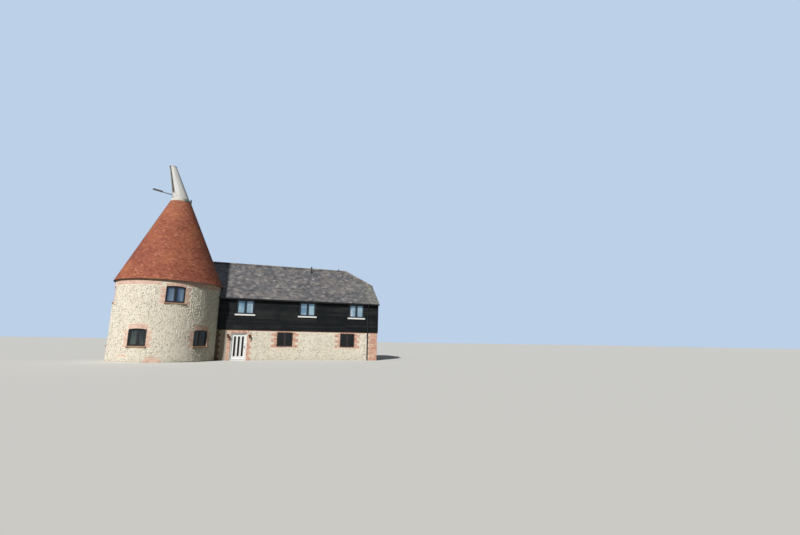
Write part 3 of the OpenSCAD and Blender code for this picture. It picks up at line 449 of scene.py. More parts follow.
def kerb_lead():
    """Painted lead of the kerb: cream, with painted shade in a mossy green tint over its +X side,
    away from the lamp.
    """
    finish = Finish("kerb_lead", roughness=0.6)
    bloom = finish.noise(5, 5)
    body = finish.ramp(bloom, (0.3, 178, 172, 162), (0.55, 208, 202, 192), (0.8, 224, 219, 210))
    # Painted shade with a mossy green tint over the side away from the lamp; the bloom makes its
    # edge uneven.
    shade_side = finish.plus(finish.axis("X"), finish.span(bloom, 0.3, 0.7, -0.2, 0.2))
    body = finish.stain(body, (74, 84, 72), shade_side, 0.1, 0.4, 0.0, 0.9)
    return finish.done(body, finish.noise(14, 3), 0.25, 0.01)


def timber(name, light, dark, stretch):
    """Sawn wood with its grain along one axis."""
    finish = Finish(name, roughness=0.75, specular=0.3)
    grain = finish.noise(4, 6, stretch)
    knots = finish.cells(2.5, tuple(0.4 * value for value in stretch))
    body = finish.ramp(grain, (0.3, *dark), (0.7, *light))
    return finish.done(finish.stain(body, dark, knots, 0.05, 0.16, 0.6, 0.0), grain, 0.4, 0.004)


def screed():
    finish = Finish("screed", roughness=0.8, specular=0.3)
    body = finish.ramp(finish.noise(3, 6), (0.3, 150, 146, 138), (0.7, 182, 178, 170))
    return finish.done(body, finish.noise(60, 3), 0.2, 0.003)


def metal(name, tint, roughness=0.3):
    finish = Finish(name, roughness=roughness, metallic=0.9)
    wear = finish.noise(30, 4)
    body = finish.stain(tint, tuple(value * 0.6 for value in tint), wear, 0.4, 0.7, 0.0, 0.5)
    return finish.done(body, wear, 0.1, 0.001)


def aged_iron():
    """The lanterns' brown metal."""
    finish = Finish("aged_iron", roughness=0.55, metallic=0.4)
    rust = finish.noise(22, 5)
    body = finish.ramp(rust, (0.3, 58, 38, 32), (0.55, 92, 58, 46), (0.8, 126, 82, 62))
    return finish.done(body, rust, 0.3, 0.002)


MORTAR_KILN = lime_mortar("kiln_mortar", inside_kiln)
MORTAR_BARN = lime_mortar("barn_mortar", inside_barn)
FLINT = flint()
BRICK = soft_brick()
SILL_BRICK = paint("sill_brick", (196, 156, 124), 0.8, 0.2, (1, 1, 1))
CLAY = clay_tile()
SLATE = slate()
RIDGE_CLAY = ridge_clay()
BLACK_BOARDS = black_boards()
WHITE_BOARDS = white_boards()
WHITE_PAINT = paint("white_paint", (247, 247, 246), 0.35, 0.05)
BLACK_PAINT = paint("black_paint", (24, 25, 27), 0.35, 0.1)
LAMP_GLASS = paint("lamp_glass", (206, 196, 170), 0.12, 0.05)
DARK_LEAD = paint("weathered_lead", (96, 99, 100), 0.7, 0.15)
KERB_LEAD = kerb_lead()
WINDOW_PAINT = window_paint()
PANES = glass("window_glass")
OAK = timber("oak", (158, 126, 92), (112, 84, 58), (2, 12, 12))
POST_OAK = timber("post_oak", (168, 140, 104), (118, 92, 64), (12, 12, 1.5))
VANE_WOOD = timber("vane_wood", (142, 140, 136), (88, 88, 90), (2, 2, 14))
FLOOR_BOARDS = timber("floor_boards", (176, 140, 100), (132, 98, 66), (1.2, 14, 1))
DARK_TIMBER = timber("roof_timber", (74, 60, 48), (42, 34, 28), (6, 6, 2))
SCREED = screed()
STEEL = metal("satin_steel", (176, 176, 174))
IRON = aged_iron()

# The CAD's own shapes that stay as they are, and their finishes
for finish, names in (
    (MORTAR_KILN, "kiln_wall_front kiln_wall_front_left kiln_wall_left kiln_wall_back_left"
     " kiln_wall_front_right kiln_wall_inner_right kiln_wall_inner_back kiln_doorway_heads"),
    (MORTAR_BARN, "front_wall_by_kiln front_wall front_door_head right_end_wall back_wall"
     " left_end_wall"),
    (BLACK_BOARDS, "front_boarded_wall back_boarded_wall right_boarded_gable"
     " left_boarded_gable"),
    (BLACK_PAINT, "barn_roof_front barn_roof_back half_hips gutters_and_downpipes vent_pipes"),
    (WHITE_PAINT, "barn_window_sills front_door_frame front_door_leaf"),
    (WINDOW_PAINT, "kiln_window_frames barn_window_frames"),
    (PANES, "window_glass front_door_glass"),
    (SCREED, "kiln_ground_floor barn_ground_floor"),
    (FLOOR_BOARDS, "kiln_upper_floor barn_upper_floor"),
    (STEEL, "front_door_hinges front_door_furniture"),
    (KERB_LEAD, "cowl_kerb"), (OAK, "cowl_beams"), (POST_OAK, "cowl_post"),
    (VANE_WOOD, "cowl_vane"),
):
    for name in names.split():
        NODES[name].data.materials.clear()
        NODES[name].data.materials.append(finish)


# Shapes in mesh code

BOX_FACES = [(3, 2, 1, 0), (4, 5, 6, 7), (0, 1, 5, 4), (1, 2, 6, 5), (2, 3, 7, 6), (3, 0, 4, 7)]
SQUARE = ((-1, -1), (1, -1), (1, 1), (-1, 1))
SHARP_ANGLE = radians(40)
SOURCES = []


def vec(x, y, z):
    return Vector((x, y, z))


def towards(angle):
    """The level direction at an angle from +X."""
    return vec(cos(angle), sin(angle), 0)


def spread(start, end, count):
    """Values from start to end in so many equal steps."""
    return [start + (end - start) * i / count for i in range(count + 1)]


def round_angles(sides):
    return [2 * pi * i / sides for i in range(sides)]


def placing(origin, *axes):
    """The matrix that sets a thing at a point, with its own three axes."""
    place = Matrix(axes).transposed().to_4x4()
    place.translation = origin
    return place


def settle(mesh, name, body, materials, replaced=()):
    """Puts a finished mesh into the scene as a piece of the house."""
    piece = bpy.data.objects.new(name, mesh)
    bpy.context.scene.collection.objects.link(piece)
    mesh.materials.clear()
    for material in materials:
        mesh.materials.append(material)
    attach(piece, body)
    if replaced:
        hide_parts(*replaced)


def editable(mesh):
    form = bmesh.new()
    form.from_mesh(mesh)
    return form


def finished(form, mesh):
    form.to_mesh(mesh)
    form.free()
    return mesh


def cut_off(form, point, normal):
    """Takes away what lies past a plane, and closes what was cut."""
    bmesh.ops.bisect_plane(
        form, geom=form.verts[:] + form.edges[:] + form.faces[:], plane_co=point,
        plane_no=normal, clear_outer=True)
    bmesh.ops.holes_fill(form, edges=[e for e in form.edges if e.is_boundary], sides=0)


class Shape:
    """Closed forms gathered into one mesh, each with a tone of its own."""

    def __init__(self, seed=1):
        self.points, self.faces, self.tones, self.finishes = [], [], [], []
        self.draw = random.Random(seed)

    def add(self, points, faces, finish=0):
        first = len(self.points)
        self.points += [tuple(p) for p in points]
        self.faces += [[first + i for i in face] for face in faces]
        self.finishes += [finish] * len(faces)
        self.tones += [self.draw.random()] * len(points)

    def box(self, low, high, place=Matrix()):
        (x0, y0, z0), (x1, y1, z1) = low, high
        self.add([
            place @ vec(x, y, z) for z in (z0, z1)
            for x, y in ((x0, y0), (x1, y0), (x1, y1), (x0, y1))
        ], BOX_FACES)

    def loft(self, rings, **options):
        """A solid through rings of equal count, closed at both ends."""
        n = len(rings[0])
        points = [p for ring in rings for p in ring]
        faces = [tuple(reversed(range(n))), tuple(range(len(points) - n, len(points)))]
        for i in range(len(rings) - 1):
            for j in range(n):
                k = (j + 1) % n
                faces.append((i * n + j, i * n + k, (i + 1) * n + k, (i + 1) * n + j))
        self.add(points, faces, **options)

    def turned(self, centre, sides, profile, **options):
        """A turned solid: profile is (radius, height) from its foot to its top."""
        self.loft([
            [centre + vec(r * cos(a), r * sin(a), z) for a in round_angles(sides)]
            for r, z in profile
        ], **options)

    def bar(self, start, end, width, depth):
        """A square bar between two points, with its width along X and its depth towards Y."""
        run, side = (end - start).normalized(), vec(0, 1, 0)
        out = (side - run * run.dot(side)).normalized()
        across = run.cross(out)
        section = [
            across * (sx * width / 2) + out * (sy * depth / 2) for sx, sy in SQUARE
        ]
        self.loft([[p + s for s in section] for p in (start, end)])

    def rod(self, path, radius, sides):
        """A round rod along a path."""
        path = [Vector(p) for p in path]
        rings = []
        for i, p in enumerate(path):
            run = (path[min(i + 1, len(path) - 1)] - path[max(i - 1, 0)]).normalized()
            side = run.cross(UP if abs(run.z) < 0.9 else vec(1, 0, 0)).normalized()
            other = run.cross(side)
            rings.append([
                p + side * radius * cos(a) + other * radius * sin(a) for a in round_angles(sides)
            ])
        self.loft(rings)

    def take(self, form):
        """Adds a bmesh form, with its tones if it has them."""
        form.verts.index_update()
        layer = form.verts.layers.float.get("tone")
        first = len(self.points)
        self.points += [tuple(v.co) for v in form.verts]
        self.faces += [[first + v.index for v in f.verts] for f in form.faces]
        self.finishes += [0] * len(form.faces)
        if layer:
            self.tones += [v[layer] for v in form.verts]
        else:
            self.tones += [self.draw.random()] * len(form.verts)
        form.free()

    def mesh(self, name):
        mesh = bpy.data.meshes.new(name)
        mesh.from_pydata(self.points, [], self.faces)
        mesh.attributes.new("tone", "FLOAT", "POINT").data.foreach_set("value", self.tones)
        mesh.polygons.foreach_set("material_index", self.finishes)
        form = editable(mesh)
        bmesh.ops.recalc_face_normals(form, faces=form.faces)
        return finished(form, mesh)

    def piece(self, name, body, slot, *materials, replaced=(), smooth=False):
        mesh = self.mesh(name)
        if smooth:
            mesh.polygons.foreach_set("use_smooth", [True] * len(mesh.polygons))
            mesh.set_sharp_from_angle(angle=SHARP_ANGLE)
        settle(mesh, name, body, materials, replaced)

    def source(self, name):
        """An object that only a tree reads, outside the scene; the tree gives it its tone."""
        mesh = self.mesh(name)
        mesh.attributes.remove(mesh.attributes["tone"])
        SOURCES.append(bpy.data.objects.new(name, mesh))
        return SOURCES[-1]


# Geometry Nodes

SOCKETS = {
    int: "NodeSocketInt", float: "NodeSocketFloat", Vector: "NodeSocketVector",
    bpy.types.Object: "NodeSocketObject", bpy.types.Collection: "NodeSocketCollection",
    bpy.types.Material: "NodeSocketMaterial",
}


class Tree(Nodes):
    """A Geometry Nodes tree with named inputs, put together from short calls."""

    def __init__(self, name, **kinds):
        super().__init__(bpy.data.node_groups.new(name, "GeometryNodeTree"))
        kinds |= {"seed": int, "material": bpy.types.Material}
        face = self.tree.interface
        face.new_socket("Surface", in_out="INPUT", socket_type="NodeSocketGeometry")
        self.inputs = {
            label: face.new_socket(label, in_out="INPUT", socket_type=SOCKETS[kind]).identifier
            for label, kind in kinds.items()
        }
        face.new_socket("Pieces", in_out="OUTPUT", socket_type="NodeSocketGeometry")
        self.start, self.end = self.add("NodeGroupInput"), self.add("NodeGroupOutput")

    def __getitem__(self, label):
        return self.start.outputs[label]

    def vector(self, x=0.0, y=0.0, z=0.0):
        return self.add("ShaderNodeCombineXYZ", {0: x, 1: y, 2: z}).outputs[0]

    def turn(self, x=0.0, y=0.0, z=0.0):
        return self.add("FunctionNodeEulerToRotation", {0: self.vector(x, y, z)}).outputs[0]

    def then(self, first, second):
        """A turn, and a second one in the axes that the first has turned."""
        return self.add(
            "FunctionNodeRotateRotation", {0: first, 1: second}, rotation_space="LOCAL"
        ).outputs[0]

    def random(self, low, high, draw):
        """A random number for each piece; draw tells one use from the next."""
        wires = {2: low, 3: high, 8: self.plus(self["seed"], float(draw))}
        return self.add("FunctionNodeRandomValue", wires, data_type="FLOAT").outputs[1]

    def wobble(self):
        """A slight random turn for each piece."""
        return self.turn(*(
            self.times(self["wobble"], self.random(-1.0, 1.0, draw)) for draw in (1, 2, 3)))

    def store(self, shapes, name, value, domain):
        return self.add(
            "GeometryNodeStoreNamedAttribute", {0: shapes, 2: name, 3: value},
            data_type="FLOAT", domain=domain).outputs[0]

    def courses(self, count, per_course):
        """Points in courses, with each one's course and place; odd courses are half a step on."""
        rows = self.add("GeometryNodePoints", {0: count}).outputs[0]
        index = self.add("GeometryNodeInputIndex").outputs[0]
        marked = self.store(rows, "course", index, "POINT")
        course = self.add(
            "GeometryNodeInputNamedAttribute", {0: "course"}, data_type="FLOAT").outputs[0]
        copies = self.add(
            "GeometryNodeDuplicateElements", {0: marked, 2: per_course(course)},
            domain="POINT").outputs
        half = self.times(self.math("MODULO", course, 2.0), 0.5)
        return copies[0], course, self.plus(copies[1], half)

    def lay(self, points, kind, turn, size=(1.0, 1.0, 1.0), spot=None, pick=None):
        """Sets a piece on each point, gives it a tone and ends the tree."""
        if spot:
            points = self.add("GeometryNodeSetPosition", {0: points, 2: spot}).outputs[0]
        if pick:
            source = self.add("GeometryNodeCollectionInfo", {0: self[kind], 1: True, 2: True})
            wires = {2: source.outputs[0], 3: True, 4: pick}
        else:
            wires = {2: self.add("GeometryNodeObjectInfo", {0: self[kind]}).outputs["Geometry"]}
        wires |= {0: points, 5: turn, 6: size}
        laid = self.add("GeometryNodeInstanceOnPoints", wires).outputs[0]
        toned = self.store(laid, "tone", self.random(0.0, 1.0, 9), "INSTANCE")
        real = self.add("GeometryNodeRealizeInstances", {0: toned}).outputs[0]
        done = self.add("GeometryNodeSetMaterial", {0: real, 2: self["material"]}).outputs[0]
        self.wire(done, self.end.inputs[0])

    def grow(self, mesh=None, **values):
        """Runs the tree on a mesh or on nothing, and gives the result as a plain mesh."""
        source = bpy.data.objects.new(self.tree.name, mesh or bpy.data.meshes.new("empty_source"))
        bpy.context.scene.collection.objects.link(source)
        modifier = source.modifiers.new(self.tree.name, "NODES")
        modifier.node_group = self.tree
        for label, value in values.items():
            modifier[self.inputs[label]] = value
        view = bpy.context.evaluated_depsgraph_get()
        made = bpy.data.meshes.new_from_object(source.evaluated_get(view))
        source.modifiers.remove(modifier)
        bpy.data.objects.remove(source)
        return made


# The walls' outside, and where their openings are

# A stretch of wall seen from outside. at(x, z, out) is a point: x to the right, z up, out
# towards the viewer. along(x) is the distance that its flints are laid out by.
Face = namedtuple("Face", "at inward along")


def flat_face(corner, along):
    outward = vec(along.y, -along.x, 0)
    return Face(
        lambda x, z, out=0.0: corner + along * x + UP * z + outward * out, -outward, lambda x: x)


def flat_faces(front, right, back, left):
    """The four sides of the barn, seen from outside."""
    return {
        "front": flat_face(vec(0, front, 0), vec(1, 0, 0)),
        "right": flat_face(vec(right, 0, 0), vec(0, 1, 0)),
        "back": flat_face(vec(0, back, 0), vec(-1, 0, 0)),
        "left": flat_face(vec(left, 0, 0), vec(0, -1, 0)),
    }


def kiln_face(direction):
    """The kiln's wall round a middle line that is turned from the front."""
    turn = Matrix.Rotation(radians(direction), 3, "Z")

    def at(x, z, out=0.0):
        return turn @ vec(x, -sqrt((KILN_R + out) ** 2 - x * x), z)

    def along(x):
        return KILN_R * (radians(direction) + asin(x / KILN_R))
    return Face(at, turn @ vec(0, 1, 0), along)


STONE_FACES = flat_faces(BARN_FRONT, BARN_END, BARN_BACK, 0)
BOARD_FACES = flat_faces(BOARD_FRONT, BOARD_RIGHT, BOARD_BACK, BOARD_LEFT)
LOW_WINDOWS = {
    "front": [8.59, 13.7], "right": [RIDGE_Y], "back": [-2.4, -6.64, -10.265, -14.4],
    "left": [-6.0],
}
UP_WINDOWS = LOW_WINDOWS | {"front": [5.44, 10.265, 14.4]}
# From where to where each wall of the barn is faced with flints
WALL_ENDS = {
    "front": (KILN_JOINS_FRONT, BARN_END), "right": (BARN_FRONT, BARN_BACK),
    "back": (-BARN_END, 0.0), "left": (-BARN_BACK, -KILN_R),
}
# Where the kiln's outside wall begins and ends beside the barn, in degrees from the front
KILN_START, KILN_END = -180.0, degrees(acos(-BARN_FRONT / KILN_R))


# Brickwork

BRICK_CORNERS = 12
BRICK_FACES = [(0, 1, 2, 3), (11, 10, 9, 8)]
for i, j in ((0, 1), (1, 2), (2, 3), (3, 0)):
    BRICK_FACES += [(4 + i, 4 + j, j, i), (8 + i, 8 + j, 4 + j, 4 + i)]


class Brickwork(Shape):
    """Bricks with worn edges. claimed lists where they leave no room for flints."""

    def __init__(self, seed):
        super().__init__(seed)
        self.claimed = []

    def claim(self, face, x0, x1, z0, z1):
        self.claimed.append((face.along(x0), face.along(x1), z0, z1))

    def brick(self, face, corners):
        out = BRICK_PROUD + self.draw.uniform(-BRICK_UNEVEN, BRICK_UNEVEN)
        mx, mz = (sum(values) / 4 for values in zip(*corners))
        worn = [
            face.at(x + copysign(BRICK_WEAR, mx - x), z + copysign(BRICK_WEAR, mz - z), out)
            for x, z in corners
        ]
        rim = [face.at(x, z, out - BRICK_WEAR) for x, z in corners]
        back = [p + face.inward * BRICK_DEPTH for p in rim]
        self.add(worn + rim + back, BRICK_FACES)

    def course(self, face, x0, x1, z, shift=0.0, length=STRETCHER, height=COURSE):
        """Bricks in a row from x0 to x1, with a joint at the far end of each."""
        x = x0 - shift
        while x < x1 - 2 * JOINT:
            left, right = max(x, x0), min(x, x1 - length) + length - JOINT
            if right - left > 3 * JOINT:
                top = z + height - JOINT
                self.brick(face, [(left, z), (right, z), (right, top), (left, top)])
            x += length
        self.claim(face, x0, x1, z, z + height)

    def jamb(self, face, edge, side, z0, z1, short, wide):
        """The toothed edge of an opening, at its left (side -1) or right (1), in headers."""
        for i in range(int((z1 - z0) / COURSE + 0.01)):
            headers = wide if i // 3 % 2 == 0 else short
            left, right = sorted((edge, edge + side * headers * HEADER))
            bond = i % 2 if side > 0 else (i + headers) % 2
            self.course(face, left, right, z0 + i * COURSE, shift=HEADER * bond)

    def arch(self, face, width, rise, top, ring, lift=0.0):
        """A ring of bricks over an opening; lift is the height of the ring under it."""
        radius = (width ** 2 / 4 + rise ** 2) / (2 * rise)
        half = asin(width / 2 / radius)
        centre = top - radius
        low, high = radius + lift - BRICK_SET, radius + lift + ring - JOINT
        count = round(2 * half * low / COURSE)
        for i in range(count):
            a = -half + 2 * half * i / count + JOINT / 2 / low
            b = -half + 2 * half * (i + 1) / count - JOINT / 2 / low
            self.brick(face, [
                (r * sin(angle), centre + r * cos(angle))
                for r, angle in ((low, a), (low, b), (high, b), (high, a))
            ])
        reach = high * sin(half)
        self.claim(face, -reach, reach, top - rise, top + lift + ring)


# Widths of the toothed jambs, in headers
SHORT_JAMB, WIDE_JAMB, BARN_JAMB = 2, 3, 4
BAND_COURSES = 5
# A patch of bricks at the kiln's foot, from one direction to another, and its courses
PATCH_START, PATCH_END, PATCH_COURSES = -9.5, 8.0, 4
# A small arch near the ground: its direction, width, rise and top
SMALL_ARCH = (-34, 0.73, 0.12, 0.44)
# Directions of the air bricks, their height, their bars and the depth of their recess
AIR_BRICKS = (-3.7, -0.2)
AIR_BRICK_Z = 0.345
AIR_BRICK_BARS = 9
AIR_BRICK_BAR = 0.008
AIR_BRICK_RECESS = 0.05
# How far a sill's bricks fall to their front edge
SILL_FALL = 0.012


def kiln_dressings():
    """The kiln's brick jambs and arches, and the bricks near its foot."""
    bricks = Brickwork(11)
    half = KILN_WINDOW_W / 2
    for direction, z in KILN_WINDOWS:
        face = kiln_face(direction)
        foot, top = z - KILN_SILL_T, z + KILN_WINDOW_H
        for side in (-1, 1):
            bricks.jamb(
                face, side * (half - BRICK_SET), side, foot, top - KILN_WINDOW_RISE, SHORT_JAMB,
                WIDE_JAMB)
        bricks.arch(face, KILN_WINDOW_W, KILN_WINDOW_RISE, top, STRETCHER)
        if z == KILN_LOW_Z:
            bricks.arch(face, KILN_WINDOW_W, KILN_WINDOW_RISE, top, HEADER, lift=STRETCHER)
        bricks.claim(face, -half, half, foot, top)
    step = degrees(STRETCHER / KILN_R)
    for i in range(PATCH_COURSES):
        tooth = degrees(HEADER / KILN_R) * (i // 2 % 2)
        for k in range(round((PATCH_END - PATCH_START - 2 * tooth) / step)):
            face = kiln_face(PATCH_START + tooth + (k + 0.5) * step)
            bricks.course(face, -STRETCHER / 2, STRETCHER / 2, i * COURSE + JOINT / 2)
    direction, width, rise, top = SMALL_ARCH
    bricks.arch(kiln_face(direction), width, rise, top, HEADER)
    for direction in AIR_BRICKS:
        bricks.claim(kiln_face(direction), -HEADER, HEADER, AIR_BRICK_Z, AIR_BRICK_Z + COURSE)
    bricks.piece("kiln_brick_dressings", "house", "flint_wall", BRICK)
    return bricks.claimed


def eaves_band(rounds):
    """Courses of bricks under the cone, left out where the upper arches reach."""
    brick = Shape(14)
    half, height = (STRETCHER - JOINT) / 2, COURSE - JOINT
    corners = [(-half, 0), (half, 0), (half, height), (-half, height)]
    worn = [(copysign(half - BRICK_WEAR, x), abs(y - BRICK_WEAR), 0) for x, y in corners]
    rim = [(x, y, -BRICK_WEAR) for x, y in corners]
    back = [(x, y, -BRICK_DEPTH) for x, y in corners]
    brick.add(worn + rim + back, BRICK_FACES)
    mesh = rounds.grow(
        courses=BAND_COURSES, foot_radius=KILN_R + BRICK_PROUD, radius_step=0.0,
        foot_height=KILN_H - BAND_COURSES * COURSE, height_step=COURSE, width=STRETCHER,
        pitch=pi / 2, wobble=0.004, piece=brick.source("band_brick"), seed=15, material=BRICK)
    arch_top = KILN_UP_Z + KILN_WINDOW_H + STRETCHER
    arch_reach = degrees((KILN_WINDOW_W / 2 + STRETCHER) / KILN_R)

    def left_out(centre):
        direction = degrees(atan2(centre[0], -centre[1]))
        over_arch = any(abs(direction - d) < arch_reach for d in KILN_UP_DIRECTIONS)
        return not KILN_START < direction < KILN_END or (centre[2] < arch_top and over_arch)
    drop_islands(mesh, BRICK_CORNERS, left_out)
    settle(mesh, "kiln_eaves_band", "house", [BRICK])


def kiln_air_bricks():
    """Two terracotta air bricks: a rim and bars over a recess painted black for the shade in their
    holes.
    """
    grilles = Shape(12)
    half, height, bar = HEADER - JOINT / 2, COURSE - JOINT, AIR_BRICK_BAR
    for direction in AIR_BRICKS:
        face = kiln_face(direction)

        def block(x0, x1, z0, z1, inner, outer, finish=0):
            grilles.loft([
                [face.at(x, AIR_BRICK_Z + z, out)
                 for x, z in ((x0, z0), (x1, z0), (x1, z1), (x0, z1))]
                for out in (inner, outer)
            ], finish=finish)
        # Painted shade: a block behind the bars is painted black for the dark holes.
        block(-half, half, 0, height, -AIR_BRICK_RECESS, 0.001, finish=1)
        for z in (0, height / 2 - bar / 2, height - bar):
            block(-half, half, z, z + bar, 0.0, bar)
        for x in spread(-half, half - bar, AIR_BRICK_BARS):
            block(x, x + bar, 0, height, 0.0, 0.0075)
    grilles.piece("kiln_air_bricks", "house", "flint_wall", BRICK, BLACK_PAINT)


def kiln_sills():
    """Sills of tan bricks on edge, in the place of the plain ones."""
    sills = Shape(13)
    half = KILN_WINDOW_W / 2 + KILN_SILL_EAR
    count = round(2 * half / COURSE)
    pitch = 2 * half / count
    face_y = -KILN_R - KILN_SILL_OUT
    back_y = face_y + KILN_SILL_DEPTH
    for direction, z in KILN_WINDOWS:
        place = Matrix.Rotation(radians(direction), 4, "Z")
        foot = z - KILN_SILL_T

        def across(xs, profile, finish=0):
            sills.loft([[place @ vec(x, y, h) for y, h in profile] for x in xs], finish=finish)
        for i in range(count):
            x = -half + i * pitch
            fall = SILL_FALL + sills.draw.uniform(-BRICK_UNEVEN, BRICK_UNEVEN)
            across((x + 0.003, x + pitch - 0.003), [
                (face_y + 0.004, foot + 0.002), (face_y, foot + 0.008), (face_y, z - fall - 0.008),
                (face_y + 0.006, z - fall), (back_y, z), (back_y, foot)])
        across((-half + 0.004, half - 0.004), [
            (face_y + 0.006, foot + 0.001), (face_y + 0.006, z - 0.02), (back_y, z - 0.006),
            (back_y, foot)], finish=1)
    sills.piece(
        "kiln_brick_sills", "house", "sill_tiles", SILL_BRICK, MORTAR_KILN,
        replaced=["kiln_window_sills"])


# Height of the lowest brick's foot, and of the head over the door's frame
BRICK_FOOT = 0.005
DOOR_HEAD_GAP = 0.006
# Widths of the quoins at a wall's left and right end, in headers
QUOINS = {
    "front": ((2, 3), (6, 7)), "right": ((3, 4), (4, 3)), "back": ((3, 4), (3, 4)),
    "left": ((3, 4),),
}


def barn_dressings():
    """Brick jambs, heads, quoins and the course under the boards."""
    bricks = Brickwork(21)
    claims = {}
    half, foot_z, top_z = LOW_WINDOW_W / 2, LOW_WINDOW_Z - COURSE, STONE_H - COURSE
    door_half = DOOR_W / 2

    def head(face, x, half, z, drop=0.0):
        bricks.course(
            face, x - half - HEADER, x + half + HEADER, z - drop, length=COURSE,
            height=STONE_H - z)
    for name, face in STONE_FACES.items():
        bricks.claimed = claims[name] = []
        for x in LOW_WINDOWS[name]:
            for side in (-1, 1):
                bricks.jamb(
                    face, x + side * (half - BRICK_SET), side, foot_z, top_z, SHORT_JAMB,
                    BARN_JAMB)
            head(face, x, half, LOW_WINDOW_Z + LOW_WINDOW_H, BRICK_SET)
            bricks.course(face, x - half, x + half, foot_z, length=HEADER)
            bricks.claim(face, x - half, x + half, foot_z, STONE_H)
        left, right = WALL_ENDS[name]
        heads = [(x, half + HEADER) for x in LOW_WINDOWS[name]]
        if name == "front":
            heads.append((DOOR_X, door_half + HEADER))
        stops = sorted([left, right] + [x + s * reach for x, reach in heads for s in (-1, 1)])
        for x0, x1 in zip(stops[::2], stops[1::2]):
            bricks.course(face, x0, x1, top_z, shift=HEADER)
        edges = (left + (BRICK_SET if name == "front" else -BRICK_SET), right + BRICK_SET)
        for side, edge, widths in zip((1, -1), edges, QUOINS[name]):
            bricks.jamb(face, edge, side, BRICK_FOOT, top_z, *widths)
        if name == "front":
            for side, wide in ((-1, SHORT_JAMB), (1, WIDE_JAMB)):
                edge = DOOR_X + side * door_half
                bricks.jamb(face, edge, side, BRICK_FOOT, DOOR_H, SHORT_JAMB, wide)
            head(face, DOOR_X, door_half, DOOR_H + DOOR_HEAD_GAP)
            bricks.claim(face, DOOR_X - door_half, DOOR_X + door_half, 0, DOOR_H)
    bricks.piece("barn_brick_dressings", "house", "flint_wall", BRICK)
    return claims


# Flints

# Room kept free round bricks, and under the barn's top course and the kiln's band
FLINT_MARGIN = 0.05
BARN_TOP_MARGIN = 0.04
KILN_TOP_MARGIN = 0.05
# The widest cell of the bed that flints are laid on, and the height of its foot
FLINT_STEP = 0.35
FLINT_LOW = 0.085
# How many shapes of flint there are, and how many sides each has
FLINT_KINDS = 8
FLINT_SIDES = 7


def flint_cells(place, left, right, low, high, claimed):
    """The part of a wall that is faced with flints: its points and its flat cells."""
    boxes = [
        (x0 - FLINT_MARGIN, x1 + FLINT_MARGIN, z0 - FLINT_MARGIN, z1 + FLINT_MARGIN)
        for x0, x1, z0, z1 in claimed
    ]
    steps = int((right - left) / FLINT_STEP) + 1
    xs = {round(x, 3) for x in spread(left, right, steps)}
    zs = {round(low, 3), round(high, 3)}
    for x0, x1, z0, z1 in boxes:
        xs |= {round(min(max(x, left), right), 3) for x in (x0, x1)}
        zs |= {round(min(max(z, low), high), 3) for z in (z0, z1)}
    xs, zs = np.array(sorted(xs)), np.array(sorted(zs))
    mid_x, mid_z = (xs[1:] + xs[:-1]) / 2, (zs[1:] + zs[:-1]) / 2
    taken = np.zeros((len(mid_x), len(mid_z)), bool)
    for x0, x1, z0, z1 in boxes:
        across, upwards = (mid_x > x0) & (mid_x < x1), (mid_z > z0) & (mid_z < z1)
        taken |= across[:, None] & upwards[None, :]
    n = len(zs)
    cells = [
        (i * n + j, (i + 1) * n + j, (i + 1) * n + j + 1, i * n + j + 1)
        for i, j in zip(*np.nonzero(~taken))
    ]
    return [place(x, z) for x in xs for z in zs], cells


def flint_lumps():
    """Flints as low lumps with a broken outline, for a tree to pick from."""
    lumps = bpy.data.collections.new("flint_lumps")
    draw = random.Random(5)
    sides = FLINT_SIDES
    faces = [tuple(reversed(range(sides)))]
    for i in range(sides):
        j = (i + 1) % sides
        faces += [(i, j, sides + j, sides + i), (sides + i, sides + j, 2 * sides)]
    for k in range(FLINT_KINDS):
        waves = [draw.uniform(0.7, 1.12) for i in range(sides)]
        lean = vec(draw.uniform(-0.25, 0.25), draw.uniform(-0.25, 0.25), 0)
        points = []
        for radius, height in ((1.0, -0.2), (0.7, 0.33)):
            for angle, wave in zip(round_angles(sides), waves):
                reach = radius * wave * draw.uniform(0.93, 1.07)
                lift = height + draw.uniform(-0.12, 0.1) * (height > 0)
                points.append((reach * cos(angle), reach * sin(angle), lift))
        points.append(lean + UP * draw.uniform(0.48, 0.6))
        shape = Shape(k)
        shape.add(points, faces)
        lumps.objects.link(shape.source(f"flint_lump_{k}"))
    return lumps


def flint_tree():
    """Scatters flints over a wall, none nearer to the next than the spacing."""
    tree = Tree(
        "flint_facing", spacing=float, density=float, small=float, large=float, proud=float,
        lumps=bpy.types.Collection, lump_count=int)
    spread_out = tree.add("GeometryNodeDistributePointsOnFaces", {
        0: tree["Surface"], 2: tree["spacing"], 3: tree["density"], 6: tree["seed"],
    }, distribute_method="POISSON").outputs
    turn = tree.then(spread_out["Rotation"], tree.turn(z=tree.random(0.0, 2 * pi, 1)))
    length = tree.random(tree["small"], tree["large"], 2)
    width = tree.times(length, tree.random(0.62, 1.0, 3))
    depth = tree.times(tree["proud"], tree.random(0.6, 1.3, 4))
    pick = tree.math("FLOOR", tree.random(0.0, tree["lump_count"], 5))
    size = tree.vector(length, width, depth)
    tree.lay(spread_out["Points"], "lumps", turn, size, pick=pick)
    return tree


def flint_facing(name, tree, lumps, patches, seed):
    """One facing of flints over several patches of wall."""
    points, cells = [], []
    for patch_points, patch_cells in patches:
        cells += [tuple(len(points) + i for i in cell) for cell in patch_cells]
        points += patch_points
    bed = bpy.data.meshes.new(name + "_bed")
    bed.from_pydata(points, [], cells)
    mesh = tree.grow(
        bed, spacing=0.081, density=700.0, small=0.047, large=0.074, proud=0.062, lumps=lumps,
        lump_count=FLINT_KINDS, seed=seed, material=FLINT)
    settle(mesh, name, "house", [FLINT])


